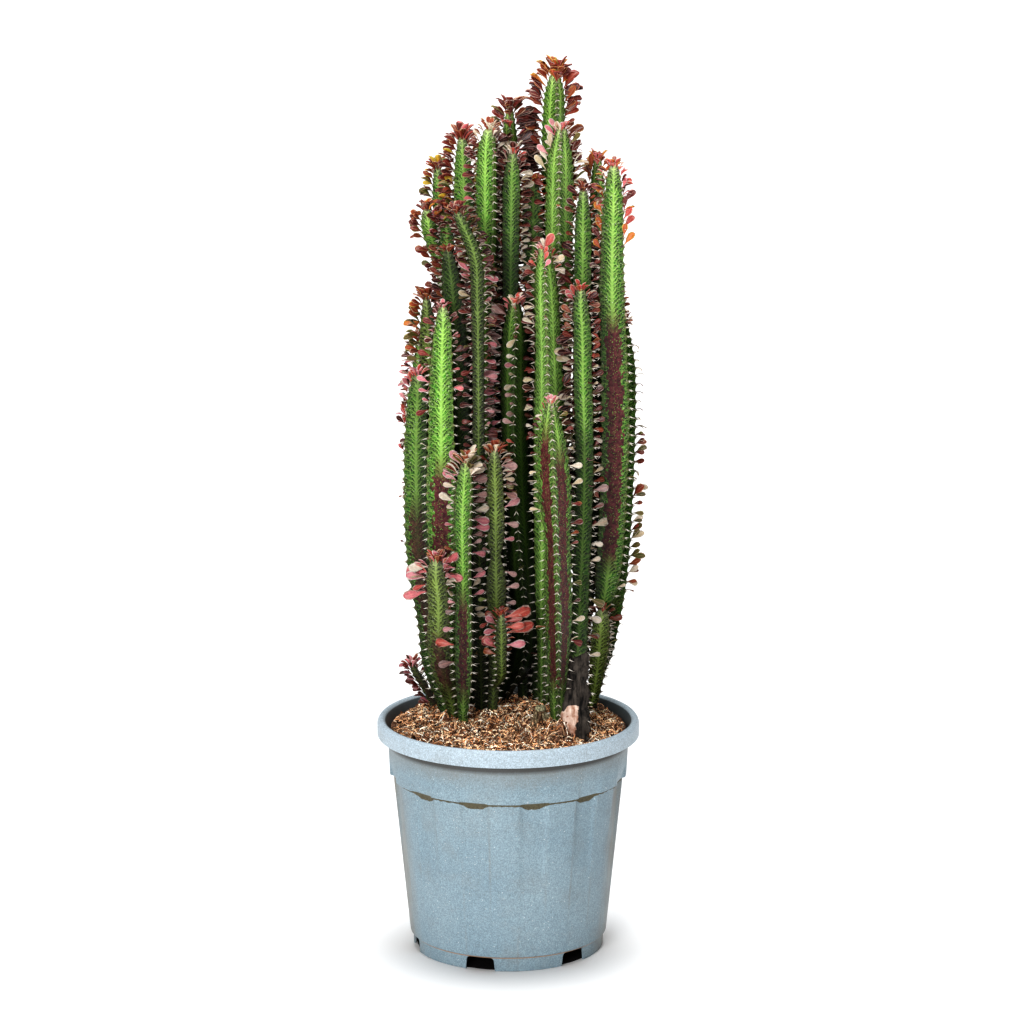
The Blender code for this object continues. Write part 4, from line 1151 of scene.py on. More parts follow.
# %% Spine material
thorn_material, tree, shader = new_material("thorn_dry_horn")
along = add(tree, "Attribute", {}, 2, attribute_name="along")
streak = add(tree, "TexNoise", {"Vector": add(tree, "TexCoord", out=3), "Scale": 900.0})
ivory = add(tree, "Mix", {0: streak, 6: rgba("ddd0c0"), 7: rgba("fdf8f0")}, 2, data_type="RGBA")
tip_share = add(tree, "MapRange", {0: along, 1: 0.55, 2: 1.0, 3: 0.0, 4: 0.5})
ivory = add(tree, "Mix", {0: tip_share, 6: ivory, 7: rgba("b98d78")}, 2, data_type="RGBA")
tree.links.new(ivory, shader.inputs["Base Color"])
rough = add(tree, "MapRange", {0: streak, 1: 0.3, 2: 0.7, 3: 0.35, 4: 0.6})
tree.links.new(rough, shader.inputs["Roughness"])
shader.inputs["IOR"].default_value = 1.54


# %% Spines on every tooth
def make_thorns(name):
    """Makes the spines of one stem as one piece; gives its number of triangles."""
    points, faces, along_values = [], [], []
    for tooth in teeth_of[name]:
        if tooth["at"][2] < 0.315 or tooth["depth"] < 0.007:
            continue
        size = np.clip(tooth["depth"] / 0.03, 0.55, 1.0) * (
            0.7 + 0.3 * min(1, tooth["radius"] / 0.018))
        for sign in (-1, 1):
            spread = math.radians(rng.normal(33, 6)) * sign
            drop = math.radians(rng.normal(-14, 9))
            way = (tooth["out"] * math.cos(spread) + tooth["side"] * math.sin(spread))
            way = way * math.cos(drop) + tooth["up"] * math.sin(drop)
            length = rng.uniform(6.2, 9.0) * MM * size
            thick = 0.80 * MM * size
            base = tooth["at"] - tooth["out"] * 0.7 * MM + tooth["side"] * sign * 0.35 * MM
            first = np.cross(way, (0.3, 0.2, 1.0))
            first /= np.linalg.norm(first)
            second = np.cross(way, first)
            start = len(points)
            for k in range(4):
                a = k * math.pi / 2
                points.append(base + (first * math.cos(a) + second * math.sin(a)) * thick)
            points.append(base + way * length)
            along_values += [0, 0, 0, 0, 1]
            faces += [(start + k, start + (k + 1) % 4, start + 4) for k in range(4)]
            faces.append((start + 3, start + 2, start + 1, start))
    if not points:
        return 0
    thorns = make_piece(name + "_thorns", points, faces, thorn_material)
    paint(thorns, "along", along_values)
    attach(thorns, "root")
    return triangles(thorns)


print("thorn triangles", sum(make_thorns(name) for name in stem_names))

# %% [markdown]
# ## Leaves
# The red form of this plant carries small spoon-shaped leaves, one above each pair of spines:
# tiny and dense at the tip, larger and more worn lower down, from near-black maroon through
# coral and pink to cream, often with a paler rim. Each leaf is a closed thin blade with a
# petiole, a rounded end, a cupped section and a curl. They could be copies of one modelled leaf,
# but on the plant no two are alike, so one function makes each from plain numbers.

# %% Leaf material
leaf_material, tree, shader = new_material("leaf_blade_succulent")
place = add(tree, "TexCoord", out=3)
tint = add(tree, "Attribute", attribute_name="leaf_colour")
blade = add(tree, "SeparateXYZ", {0: add(tree, "Attribute", {}, 1, attribute_name="blade")}).node
mottle = add(tree, "TexNoise", {"Vector": place, "Scale": 420.0, "Detail": 3.0})
mottle_range = add(tree, "MapRange", {0: mottle, 1: 0.3, 2: 0.7, 3: 0.72, 4: 1.18})
colour = add(tree, "VectorMath", {0: tint, "Scale": mottle_range}, operation="SCALE")
middle = add(tree, "Math", {0: blade.outputs[1]}, operation="ABSOLUTE")
# a thin pale rim, wider round the end
wider = add(tree, "MapRange", {0: blade.outputs[0], 1: 0.6, 2: 1.0, 3: 0.0, 4: 0.22})
rim = add(tree, "Math", {0: middle, 1: wider}, operation="ADD")
rim = add(tree, "MapRange", {0: rim, 1: 0.74, 2: 0.92, 3: 0.0, 4: 1.0})
rim_colour = add(tree, "Attribute", attribute_name="leaf_rim")
colour = add(tree, "Mix", {0: rim, 6: colour, 7: rim_colour}, 2, data_type="RGBA")
midrib = add(tree, "MapRange", {0: middle, 1: 0.02, 2: 0.14, 3: 0.35, 4: 0.0})
colour = add(tree, "Mix", {0: midrib, 6: colour, 7: rgba("c98f7c")}, 2, data_type="RGBA")
tree.links.new(colour, shader.inputs["Base Color"])
rough = add(tree, "MapRange", {0: mottle, 1: 0.3, 2: 0.7, 3: 0.34, 4: 0.5})
tree.links.new(rough, shader.inputs["Roughness"])
shader.inputs["IOR"].default_value = 1.45
ribs = add(tree, "Math", {0: midrib, 1: 0.6, 2: mottle}, operation="MULTIPLY_ADD")
tree.links.new(add(tree, "Bump", {"Strength": 0.4, "Distance": 0.0007, "Height": ribs}),
               shader.inputs["Normal"])

# %% Palettes
# each: likely body colours, then likely rim colours
PALETTES = {
    "maroon": (("5a1f1c", "6e2522", "7a2b23", "48181a"), ("c07a6c", "a85048", "e0c0b4")),
    "dark": (("2f1010", "401516", "331a14"), ("8e463c", "c8a094", "5a1f1c")),
    "redbrown": (("7d3a22", "8e3a2a", "9a4a2b"), ("dca06c", "b8483c", "f0c8a8")),
    "coral": (("d95f50", "e2737a", "c94f48"), ("f3b8a8", "f0d0c0")),
    "pink": (("d9808a", "e0979c", "cf7480"), ("f3d3cf", "f6e4dc")),
    "mauve": (("a77e78", "b98f8b", "97706c"), ("dcbab2", "e8cfc6")),
    "cream": (("dccab0", "d3bf9c", "e6d8c4"), ("f3e8d8", "f6e4dc")),
    "orange": (("d0752a", "c9622b", "b9532a"), ("e9b452", "e6c86a")),
    "yellow": (("d8b436", "cfa52e"), ("efd862", "e9e08a")),
    "olive": (("5f5e26", "6f6630", "4d5224"), ("d0c48c", "b88860")),
    "green": (("7f9a44", "93ab58"), ("c9cf94", "d9d4a4"))}


def pick(palette):
    """One body colour and one rim colour, from a palette or from several joined by +."""
    names = palette.split("+")
    bodies, rims = PALETTES[names[rng.integers(len(names))]]
    body = np.array(linear(bodies[rng.integers(len(bodies))])) * rng.uniform(0.8, 1.2)
    rim = np.array(linear(rims[rng.integers(len(rims))])) * rng.uniform(0.85, 1.1)
    return body, rim


# %% One blade
# along the blade: share of its length, share of its width
BLADE = ((0.0, 0.14), (0.18, 0.2), (0.45, 0.68), (0.70, 1.0), (0.90, 0.78), (1.0, 0.24))
# across: share of half the width, and 1 for the top, -1 for the underside, 0 for the edge
ACROSS = ((-1.0, 0), (-0.5, 1), (0.5, 1), (1.0, 0), (0.0, -1))
ROUND = len(ACROSS)


def blade_mesh(base, way, face, length, width, curl, cup, thick):
    """Points of a spoon-shaped leaf that leaves base along way, its upper side towards face."""
    side = np.cross(way, face)
    side /= max(np.linalg.norm(side), 1e-6)
    normal = np.cross(side, way)
    points, marks = [], []
    at, heading, last = np.array(base, float), 0.0, 0.0
    for along, wide in BLADE:
        at = at + (way * math.cos(heading) + normal * math.sin(heading)) * (along - last) * length
        heading = curl * along
        last = along
        lift = normal * math.cos(curl * along) - way * math.sin(curl * along)
        half = 0.5 * width * wide
        for u, layer in ACROSS:
            rise = cup * u * u * half + layer * 0.5 * thick * (1.0 - 0.3 * along)
            points.append(at + side * half * u + lift * rise)
            marks.append((along, u, layer))
    return points, marks


BLADE_FACES = tube_faces(len(BLADE), ROUND)
leaves_of = {name: [] for name in (*stem_names, "shoot_low_right")}


# %% Leaves on a tooth
def pitched(flat, up, steep):
    """The direction that climbs from flat by an angle, and the one square to it, upwards."""
    return (flat * math.cos(steep) + up * math.sin(steep),
            up * math.cos(steep) - flat * math.sin(steep))


def leaf_base(tooth, above):
    """Where a leaf leaves its tooth: a little inside the skin, and above it by so many mm."""
    return tooth["at"] - tooth["out"] * 0.8 * MM + tooth["up"] * above * MM


def add_leaf(name, base, way, face, length, palette, width=None, curl=None, air=1.0):
    """Notes one leaf of a stem; length in millimetres, width as a share of it."""
    way = np.array(way, float) / np.linalg.norm(way)
    width = (width or rng.uniform(0.42, 0.56)) * length
    curl = rng.uniform(-0.9, 0.3) if curl is None else curl + rng.uniform(-0.25, 0.25)
    # painted shade: a leaf's body and rim are darkened where its tooth has little open air
    body, rim = (colour * (0.4 + 0.6 * air) for colour in pick(palette))
    points, marks = blade_mesh(base, way, np.array(face, float), length * MM, width * MM, curl,
                               rng.uniform(0.15, 0.55), (0.55 + 0.03 * length) * MM)
    leaves_of[name].append((points, marks, body, rim))


# %% [markdown]
# ## Young leaves
# At a growing tip the leaves stand in a rosette, turned by the golden angle from one to the next.
# Below it they sit on the teeth, dense and steep at first, then flatter. The table says what
# colours a stem's rosette and the leaves below it have, how long they are, and how far they reach.

# %% Young leaves at every tip
SIDES = {"left": math.pi, "right": 0.0, "front": -math.pi / 2, "back": math.pi / 2}
# stem: palettes of the leaves at its tip and of the row below it, their length in mm, and how
# far below the tip they reach in mm
TIP_LEAVES = {
    "stem_tallest": ("redbrown+redbrown+orange+maroon", "maroon+maroon+redbrown", 25, 60),
    "stem_back_slim": ("redbrown+olive+maroon", "coral+maroon+dark+dark", 23, 150),
    "stem_upper_left": ("redbrown+maroon+coral", "maroon+maroon+yellow+olive", 22, 130),
    "stem_far_left_back": ("redbrown+yellow", "maroon+olive", 17, 90),
    "stem_leaning": ("redbrown+maroon", "maroon+dark+olive", 16, 150),
    "stem_far_left": ("redbrown+maroon+orange", "maroon+redbrown", 17, 90),
    "stem_top_broad": ("coral+cream+pink", "maroon+cream", 13, 50),
    "stem_top_left": ("cream+redbrown", "maroon+dark+cream", 14, 70),
    "stem_top_slim": ("orange+redbrown", "orange+redbrown", 13, 80),
    "stem_inner": ("cream+coral+maroon", "cream+maroon+dark", 17, 110),
    "stem_right": ("coral+redbrown+orange", "coral+maroon+orange", 14, 70),
    "stem_right_back": ("orange+redbrown+coral", "redbrown+redbrown+orange", 14, 80),
    "branch_right": ("redbrown+maroon", "redbrown", 13, 70),
    "trunk_right": ("redbrown+coral", "redbrown+maroon", 12, 70),
    "stem_outer_right": ("maroon+redbrown+cream", "olive+cream+maroon", 13, 70),
    "stem_right_inner": ("maroon+olive", "maroon+redbrown", 12, 70),
    "stem_centre": ("cream+pink+coral", "maroon+mauve", 15, 70),
    "stem_front_tall": ("coral+pink+cream", "maroon+coral+cream", 11, 50),
    "stem_left": ("pink+maroon", "maroon+pink", 11, 60),
    "stem_left_inner": ("maroon+redbrown", "maroon+dark", 12, 70),
    "stem_left_low": ("orange+redbrown+redbrown", "redbrown+olive", 18, 80),
    "stem_outer_left": ("pink+coral", "pink+coral+redbrown", 13, 60),
    "stem_front_left": ("redbrown+cream+olive+cream", "pink+cream+mauve", 21, 40),
    "stem_low_left": ("pink+redbrown+coral", "pink+cream+maroon", 18, 50),
    "stem_middle": ("redbrown+pink+cream+redbrown", "mauve+cream", 17, 50),
    "shoot_middle": ("redbrown+maroon", "redbrown", 11, 50),
    "shoot_far_left": ("maroon+redbrown+pink", "maroon", 14, 50),
    "branch_front": ("cream+pink+coral", "cream+maroon", 10, 40),
    "shoot_low_right": ("redbrown+maroon+coral", "olive+cream+maroon", 12, 60)}


OTHER_TIPS = ("redbrown+maroon", "maroon+redbrown", 16, 90)
GOLDEN_TURN = 2.4


# %% Crown and upper rows
def tip_leaves(name):
    """Notes the rosette of one stem and the young leaves on its upper teeth."""
    rings, _ = cad_rings[name]
    tip = np.array([rings[-1, 1], rings[-1, 2], rings[-1, 0]])
    crown, young, size, leafy = TIP_LEAVES.get(name, OTHER_TIPS)
    for k in range(9 + size // 2):
        turn = k * GOLDEN_TURN + rng.uniform(-0.3, 0.3)
        out = np.array([math.cos(turn), math.sin(turn), 0.0])
        steep = math.radians(rng.uniform(45, 85))
        way, face = pitched(out, np.array([0, 0, 1]), steep)
        base = tip + out * rng.uniform(1.0, 4.0) * MM - np.array([0, 0, rng.uniform(1, 5)]) * MM
        add_leaf(name, base, way, face, size * rng.uniform(0.7, 1.2), crown, curl=-0.6)
    for tooth in teeth_of[name]:
        depth = tooth["depth"] / MM
        if depth > leafy or rng.uniform() > 1.15 - 0.4 * depth / leafy:
            continue
        if depth > 14 and tooth["out"][1] < -0.7 and rng.uniform() < 0.8:
            continue
        high = math.exp(-depth / 24.0)
        for _ in range(3 if size > 18 else 2 if size > 13 else 1):
            steep = math.radians(rng.normal(24 + 44 * high, 12))
            way, face = pitched(tooth["out"], tooth["up"], steep)
            way = way + tooth["side"] * rng.normal(0, 0.3)
            face = face + tooth["side"] * rng.normal(0, 0.5)
            length = size * (0.62 + 0.38 * min(1, depth / 18)) * rng.uniform(0.75, 1.15)
            add_leaf(name, leaf_base(tooth, 1.4), way, face, length,
                     crown if depth < 20 else young, curl=-0.6, air=tooth["air"])


for name in stem_names:
    tip_leaves(name)


# %% [markdown]
# ## Rows of older leaves
# Lower down a ridge keeps its leaves for a stretch and has lost them in another, and a row of
# leaves turns its faces to the light. One line of the table is one such row, so that it is easy to
# move, to thin out or to colour again.


# %% Which ridge looks to which side
def nearest_ridge(name, side):
    """The number of the ridge that points most to the left, right, front or back."""
    _, ridges = cad_rings[name]
    off = [abs((angle - SIDES[side] + math.pi) % (2 * math.pi) - math.pi) for angle in ridges]
    return off.index(min(off))


# %% Table of rows
# stem, side (>where its leaves lean to), from and to in mm below the tip, one leaf every so
# many teeth, palette, length in mm, pitch in degrees, how far a blade turns to face the front
ROWS = [
    ("stem_centre", "left", 20, 60, 1, "maroon+mauve", 18, 20, 0.6),
    ("stem_centre", "left", 55, 185, 1, "mauve+mauve+pink", 22, 0, 0.85),
    ("stem_centre", "left", 185, 250, 1, "olive+mauve+redbrown", 20, 0, 0.8),
    ("stem_centre", "front>left", 40, 165, 1, "cream+pink+mauve", 14, 0, 0.9),
    ("stem_centre", "front>left", 165, 250, 1, "maroon+coral", 12, 0, 0.8),
    ("stem_left", "right", 10, 120, 1, "maroon+coral+dark", 14, 10, 0.8),
    ("stem_left", "left", 20, 140, 1, "pink+maroon", 14, 10, 0.7),
    ("stem_outer_left", "left", 5, 110, 1, "coral+pink+maroon", 12, 62, 0.6),
    ("stem_outer_left", "left", 150, 300, 5, "redbrown+maroon", 9, 15, 0.7),
    ("stem_low_left", "left", 5, 45, 1, "pink+coral+cream", 26, 0, 0.8),
    ("stem_low_left", "right", 5, 30, 2, "coral+pink", 24, 20, 0.85),
    ("stem_front_left", "left", 5, 60, 1, "pink+mauve+cream", 21, 15, 0.8),
    ("stem_front_left", "left", 60, 190, 1, "pink+cream", 15, 0, 0.7),
    ("stem_front_left", "right", 5, 190, 1, "mauve+pink+cream", 18, 5, 0.85),
    ("stem_front_left", "left", 190, 290, 2, "mauve+coral+pink", 20, -5, 0.85),
    ("stem_middle", "right", 20, 70, 1, "cream+olive+mauve", 21, 10, 0.8),
    ("stem_middle", "right", 70, 190, 2, "mauve+pink", 19, -5, 0.9),
    ("stem_middle", "right", 190, 240, 1, "mauve+pink", 15, 5, 0.9),
    ("stem_middle", "left", 30, 160, 1, "mauve+maroon", 15, 5, 0.7),
    ("stem_middle", "left", 190, 270, 1, "green+cream+coral", 17, 0, 0.8),
    ("shoot_middle", "left", 5, 60, 1, "coral+pink+green+redbrown", 18, 20, 0.8),
    ("shoot_middle", "right", 3, 45, 1, "coral+pink+coral", 30, 8, 0.85),
    ("stem_outer_right", "right", 130, 185, 1, "olive+maroon+redbrown", 14, 15, 0.6),
    ("stem_outer_right", "right", 210, 350, 1, "olive+cream+olive+redbrown", 18, 25, 0.6),
    ("stem_outer_right", "left", 60, 250, 2, "maroon+olive", 12, 15, 0.5),
    ("stem_right", "left", 10, 130, 1, "redbrown+maroon+orange", 15, 50, 0.8),
    ("stem_right", "left", 130, 260, 1, "maroon+dark+coral", 13, 15, 0.7),
    ("stem_right", "right", 15, 75, 1, "coral+maroon", 17, 65, 0.7),
    ("stem_right", "right", 75, 135, 1, "orange+yellow+coral", 17, 55, 0.7),
    ("stem_right", "left", 260, 425, 1, "dark+olive+maroon", 17, 0, 0.6),
    ("stem_right_inner", "left", 5, 450, 1, "dark+maroon+olive", 18, 10, 0.6),
    ("stem_right_inner", "front", 5, 300, 1, "dark+maroon+olive", 16, 10, 0.6),
    ("stem_rear_right", "front", 5, 400, 1, "dark+maroon+olive", 18, 10, 0.6),
    ("stem_rear_centre", "right", 5, 400, 1, "dark+maroon", 18, 10, 0.6),
    ("trunk_right", "left", 60, 420, 1, "dark+olive+dark+cream", 20, 0, 0.6),
    ("stem_right", "left", 425, 580, 2, "mauve+redbrown+cream", 14, 5, 0.7),
    ("stem_right", "left", 585, 640, 1, "redbrown+maroon", 16, 35, 0.7),
    ("stem_right", "right", 585, 610, 1, "redbrown+maroon", 14, 35, 0.7),
    ("stem_right_back", "left", 5, 200, 1, "redbrown+redbrown+orange", 17, 62, 0.8),
    ("stem_tallest", "left", 20, 120, 1, "maroon+dark+redbrown", 22, 35, 0.6),
    ("stem_tallest", "left", 60, 240, 1, "dark+maroon+dark", 27, 20, 0.5),
    ("stem_tallest", "right", 20, 190, 1, "maroon+redbrown", 21, 48, 0.6),
    ("stem_tallest", "right", 110, 200, 1, "maroon+olive+redbrown", 19, 35, 0.5),
    ("stem_back_slim", "right", 10, 230, 1, "dark+maroon+dark", 26, 25, 0.6),
    ("stem_back_slim", "right", 10, 230, 1, "dark+maroon", 25, -8, 0.3),
    ("stem_tallest", "left", 50, 250, 1, "dark+maroon+olive", 26, -12, 0.3),
    ("stem_back_slim", "left", 8, 60, 1, "coral+maroon", 19, 45, 0.7),
    ("stem_back_slim", "left", 60, 160, 1, "orange+maroon+olive", 17, 20, 0.6),
    ("stem_top_left", "right", 15, 120, 1, "dark+maroon+cream", 16, 30, 0.6),
    ("stem_top_left", "right", 120, 300, 1, "dark+maroon", 14, 10, 0.6),
    ("stem_top_left", "left", 15, 90, 1, "maroon+dark", 14, 20, 0.6),
    ("stem_top_left", "left", 90, 260, 2, "coral+maroon", 13, 20, 0.6),
    ("stem_top_broad", "right", 10, 120, 1, "maroon+cream+maroon+olive", 17, 40, 0.3),
    ("stem_top_broad", "left", 5, 60, 1, "cream+pink", 18, 55, 0.8),
    ("stem_top_broad", "left", 60, 240, 1, "maroon+redbrown", 13, 15, 0.6),
    ("stem_top_slim", "left", 5, 170, 1, "orange+redbrown+orange", 16, 62, 0.85),
    ("stem_inner", "right", 10, 180, 1, "maroon+dark+cream", 15, 25, 0.6),
    ("stem_inner", "left", 10, 220, 1, "dark+maroon+olive", 15, 20, 0.6),
    ("stem_upper_left", "right", 10, 130, 1, "yellow+orange+cream", 19, 40, 0.8),
    ("stem_upper_left", "right", 130, 260, 1, "orange+redbrown+yellow", 18, 55, 0.8),
    ("stem_upper_left", "left", 10, 190, 1, "maroon+redbrown", 16, 25, 0.6),
    ("branch_upper_left", "left", 5, 130, 1, "maroon+redbrown+pink", 16, 30, 0.7),
    ("branch_upper_left", "right", 5, 130, 1, "maroon+mauve+cream", 15, 25, 0.7),
    ("stem_leaning", "left", 5, 120, 1, "maroon+pink+cream", 16, 25, 0.7),
    ("stem_leaning", "right", 5, 300, 1, "dark+maroon+pink", 15, 10, 0.7),
    ("stem_leaning", "left", 120, 330, 1, "dark+maroon", 14, 10, 0.7),
    ("stem_front_tall", "left", 20, 260, 1, "maroon+cream+dark", 14, 5, 0.5),
    ("stem_front_tall", "front>right", 0, 30, 1, "coral+pink", 20, 55, 0.95),
    ("stem_front_tall", "right", 15, 330, 1, "cream+dark+maroon", 15, 10, 0.6),
    ("branch_front", "left", 20, 160, 2, "cream+maroon", 12, 10, 0.5),
    ("branch_front", "right", 20, 330, 2, "cream+maroon+olive", 15, 5, 0.7),
    ("trunk_right", "left", 5, 60, 1, "redbrown+coral", 15, 50, 0.8),
    ("trunk_right", "right", 5, 260, 1, "redbrown+maroon+cream", 13, 20, 0.7),
    ("trunk_right", "left", 60, 330, 2, "cream+maroon+redbrown", 14, 10, 0.7),
    ("trunk_right", "right", 260, 480, 2, "cream+mauve+cream+olive", 20, 0, 0.85),
    ("branch_right", "left", 5, 160, 1, "redbrown+maroon", 15, 30, 0.7),
    ("branch_right", "right", 5, 200, 1, "redbrown+maroon+dark", 14, 20, 0.7),
    ("stem_far_left", "left", 5, 160, 1, "maroon+redbrown+olive", 15, 25, 0.6),
    ("stem_far_left", "right", 5, 200, 1, "maroon+pink+dark", 14, 20, 0.6),
    ("stem_far_left_back", "left", 5, 120, 1, "redbrown+yellow+olive", 17, 35, 0.7),
    ("stem_far_left_back", "right", 5, 200, 1, "yellow+maroon+cream", 16, 25, 0.7),
    ("stem_left_low", "left", 5, 130, 1, "orange+redbrown+olive", 18, 15, 0.6),
    ("stem_left_low", "right", 5, 200, 1, "redbrown+maroon", 14, 20, 0.6),
    ("stem_left_inner", "left", 5, 160, 1, "maroon+dark+redbrown", 14, 20, 0.6),
    ("stem_left_inner", "right", 5, 420, 1, "maroon+coral+dark", 14, 15, 0.7),
    ("shoot_far_left", "left", 0, 60, 1, "maroon+pink", 15, 30, 0.5),
    ("stem_rear_tall", "back", 20, 240, 1, "maroon+redbrown", 16, 25, 0.0),
    ("stem_rear_left", "back", 20, 240, 1, "coral+maroon", 16, 25, 0.0),
    ("stem_rear_centre", "back", 20, 240, 1, "orange+redbrown", 16, 25, 0.0),
    ("stem_rear_centre", "front", 5, 160, 1, "dark+maroon", 16, 25, 0.3),
    ("stem_rear_right", "right", 20, 240, 1, "pink+mauve", 16, 15, 0.3),
    ("stem_rear_slim", "back", 20, 200, 1, "maroon+olive", 15, 20, 0.0),
    ("stem_rear_low", "left", 20, 220, 1, "cream+pink+maroon", 15, 10, 0.3),
    ("branch_rear_outer", "right", 20, 220, 1, "redbrown+orange", 14, 20, 0.3)]

# %% Set the rows
BARE_SHARE = 0.14
for stem, sides, start, end, every, palette, length, pitch, turned in ROWS:
    side, _, lean_to = sides.partition(">")
    ridge = nearest_ridge(stem, side)
    angle = SIDES[lean_to or side]
    aim = np.array([math.cos(angle), math.sin(angle), 0.0])
    row = [tooth for tooth in teeth_of[stem]
           if tooth["ridge"] == ridge and start <= tooth["depth"] / MM <= end]
    if turned <= 0.6:
        row = [tooth for tooth in row for _ in range(2)]
    for tooth in row[::every]:
        if rng.uniform() < BARE_SHARE:
            continue
        steep = math.radians(rng.normal(pitch, 15))
        flat = tooth["out"] * 0.45 + aim * 0.75 + tooth["side"] * rng.normal(0, 0.32)
        flat /= np.linalg.norm(flat)
        way, level = pitched(flat, tooth["up"], steep)
        face = (level * (1 - turned) + np.array([0, -1, 0]) * turned
                + tooth["side"] * rng.normal(0, 0.25))
        add_leaf(stem, leaf_base(tooth, 1.6), way, face, length * rng.uniform(0.6, 1.25),
                 palette, air=tooth["air"])

# %% [markdown]
# ## Dried leaves
# Leaves that have lost their water hang on for months as thin curled strips, cream or brown. They
# are the same blade, much narrower and curled further. A few odd leaves are also left here and
# there all the way down.

# %% Table of thin curled leaves and dried strips
# stem, side, from and to in mm below the tip, palette, length, width and curl
STRIPS = [
    ("stem_front_tall", "left", 5, 230, "cream+pink", 14, 3.6, -1.1),
    ("stem_front_tall", "right", 5, 230, "cream+mauve", 12, 3.0, -1.3),
    ("stem_top_slim", "right", 20, 160, "cream+mauve", 13, 2.4, -2.4),
    ("stem_top_broad", "right", 5, 120, "cream+maroon", 18, 3.4, -1.2),
    ("stem_leaning", "front", 10, 200, "cream+maroon", 13, 3.2, -1.4),
    ("stem_leaning", "right", 10, 330, "cream+dark", 14, 3.0, -1.6),
    ("stem_left_inner", "right", 10, 400, "cream+maroon", 12, 2.8, -1.2),
    ("stem_inner", "left", 20, 330, "cream+maroon+dark", 14, 3.0, -1.6),
    ("stem_top_left", "left", 30, 330, "cream+maroon", 13, 3.0, -1.4),
    ("stem_top_left", "right", 20, 330, "cream+maroon+dark", 13, 3.2, -1.4),
    ("stem_upper_left", "front", 20, 200, "cream+maroon", 12, 3.0, -1.2),
    ("stem_right", "left", 10, 400, "cream+maroon", 12, 2.8, -1.4),
    ("trunk_right", "left", 10, 330, "cream+maroon", 13, 3.0, -1.4),
    ("stem_far_left", "right", 10, 220, "cream+maroon", 14, 3.4, -1.3),
    ("branch_upper_left", "right", 5, 150, "cream+pink+maroon", 15, 3.6, -1.2),
    ("stem_outer_right", "right", 30, 200, "cream+maroon", 10, 2.6, -1.4)]

# %% Set the strips
for stem, side, start, end, palette, length, width, curl in STRIPS:
    ridge = nearest_ridge(stem, side)
    for tooth in teeth_of[stem]:
        if tooth["ridge"] != ridge or not start <= tooth["depth"] / MM <= end:
            continue
        steep = math.radians(rng.normal(35, 18))
        way, face = pitched(tooth["out"], tooth["up"], steep)
        way = way + tooth["side"] * rng.normal(0, 0.35)
        add_leaf(stem, leaf_base(tooth, 1.2), way, face, length * rng.uniform(0.7, 1.3), palette,
                 width=width / length, curl=curl, air=tooth["air"])

# %% Scattered old leaves lower down
ODD_SHARE = 0.08
for name in stem_names:
    for tooth in teeth_of[name]:
        if tooth["depth"] > 0.08 and tooth["at"][2] > 0.36 and rng.uniform() < ODD_SHARE:
            way, _ = pitched(tooth["out"], tooth["up"], math.radians(rng.normal(10, 18)))
            face = tooth["up"] + tooth["side"] * rng.normal(0, 0.7)
            add_leaf(name, leaf_base(tooth, 1.6), way, face, rng.uniform(9, 14),
                     "maroon+redbrown+olive+cream", air=tooth["air"])
print("leaves on the CAD's stems", sum(len(found) for found in leaves_of.values()))

# %% [markdown]
# ## A low shoot at the right
# A short olive shoot stands pressed against the foot of the right stem. The CAD has one solid
# there, so the shoot is grown here like every other stem, from rings laid in front of that
# stem's own.

# %% Low shoot
rng = np.random.default_rng(3)
shoot_z = np.array([0.283, 0.315, 0.350, 0.385, 0.412, 0.432, 0.442])
shoot_radius = np.array([8.5, 9.5, 11.5, 14.0, 14.0, 11.5, 7.0]) * MM
behind = smooth_at(cad_rings["stem_right"][0], shoot_z)
cad_rings["shoot_low_right"] = (
    np.column_stack([shoot_z, behind[:, 0] - 1.5 * MM,
                     behind[:, 1] - 0.5 * behind[:, 2] - 0.6 * shoot_radius, shoot_radius]),
    [math.radians(turn) for turn in (-155, -35, 85)])
grow("shoot_low_right")
tip_leaves("shoot_low_right")
print("low shoot triangles", triangles(stem_pieces["shoot_low_right"]),
      "thorns", make_thorns("shoot_low_right"))


# %% Build the leaves of each stem
def build_leaves(name):
    """Makes all noted leaves of one stem as one piece; gives its number of triangles."""
    points, faces, colours, rims, marks = [], [], [], [], []
    for leaf_points, leaf_marks, body, rim in leaves_of[name]:
        start = len(points)
        points += leaf_points
        faces += [tuple(start + k for k in face) for face in BLADE_FACES]
        marks += leaf_marks
        colours += [(*body, 1.0)] * len(leaf_marks)
        rims += [(*rim, 1.0)] * len(leaf_marks)
    if not points:
        return 0
    piece = make_piece(name + "_blades", points, faces, leaf_material)
    paint(piece, "leaf_colour", colours)
    paint(piece, "leaf_rim", rims)
    paint(piece, "blade", marks)
    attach(piece, "root")
    if name + "_leaves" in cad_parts:
        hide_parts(name + "_leaves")
    return triangles(piece)


leaf_triangles = sum(build_leaves(name) for name in leaves_of)
print("leaves", sum(len(found) for found in leaves_of.values()), "triangles", leaf_triangles)

# %% [markdown]
# ## The old stub
# Beside the trunk stands the stump of a stem that was cut off years ago: a grooved grey-brown
# knuckle that widens to its foot, with a healed, pale greenish cap and a small hollow in it. The
# hollow and the deepest parts of the grooves are given painted shade.
# It is a turned profile on the CAD stub's axis, roughened by noise in two sizes and grooved by a
# wave round it; it is slimmer than the CAD's plain solid and about six millimetres taller.

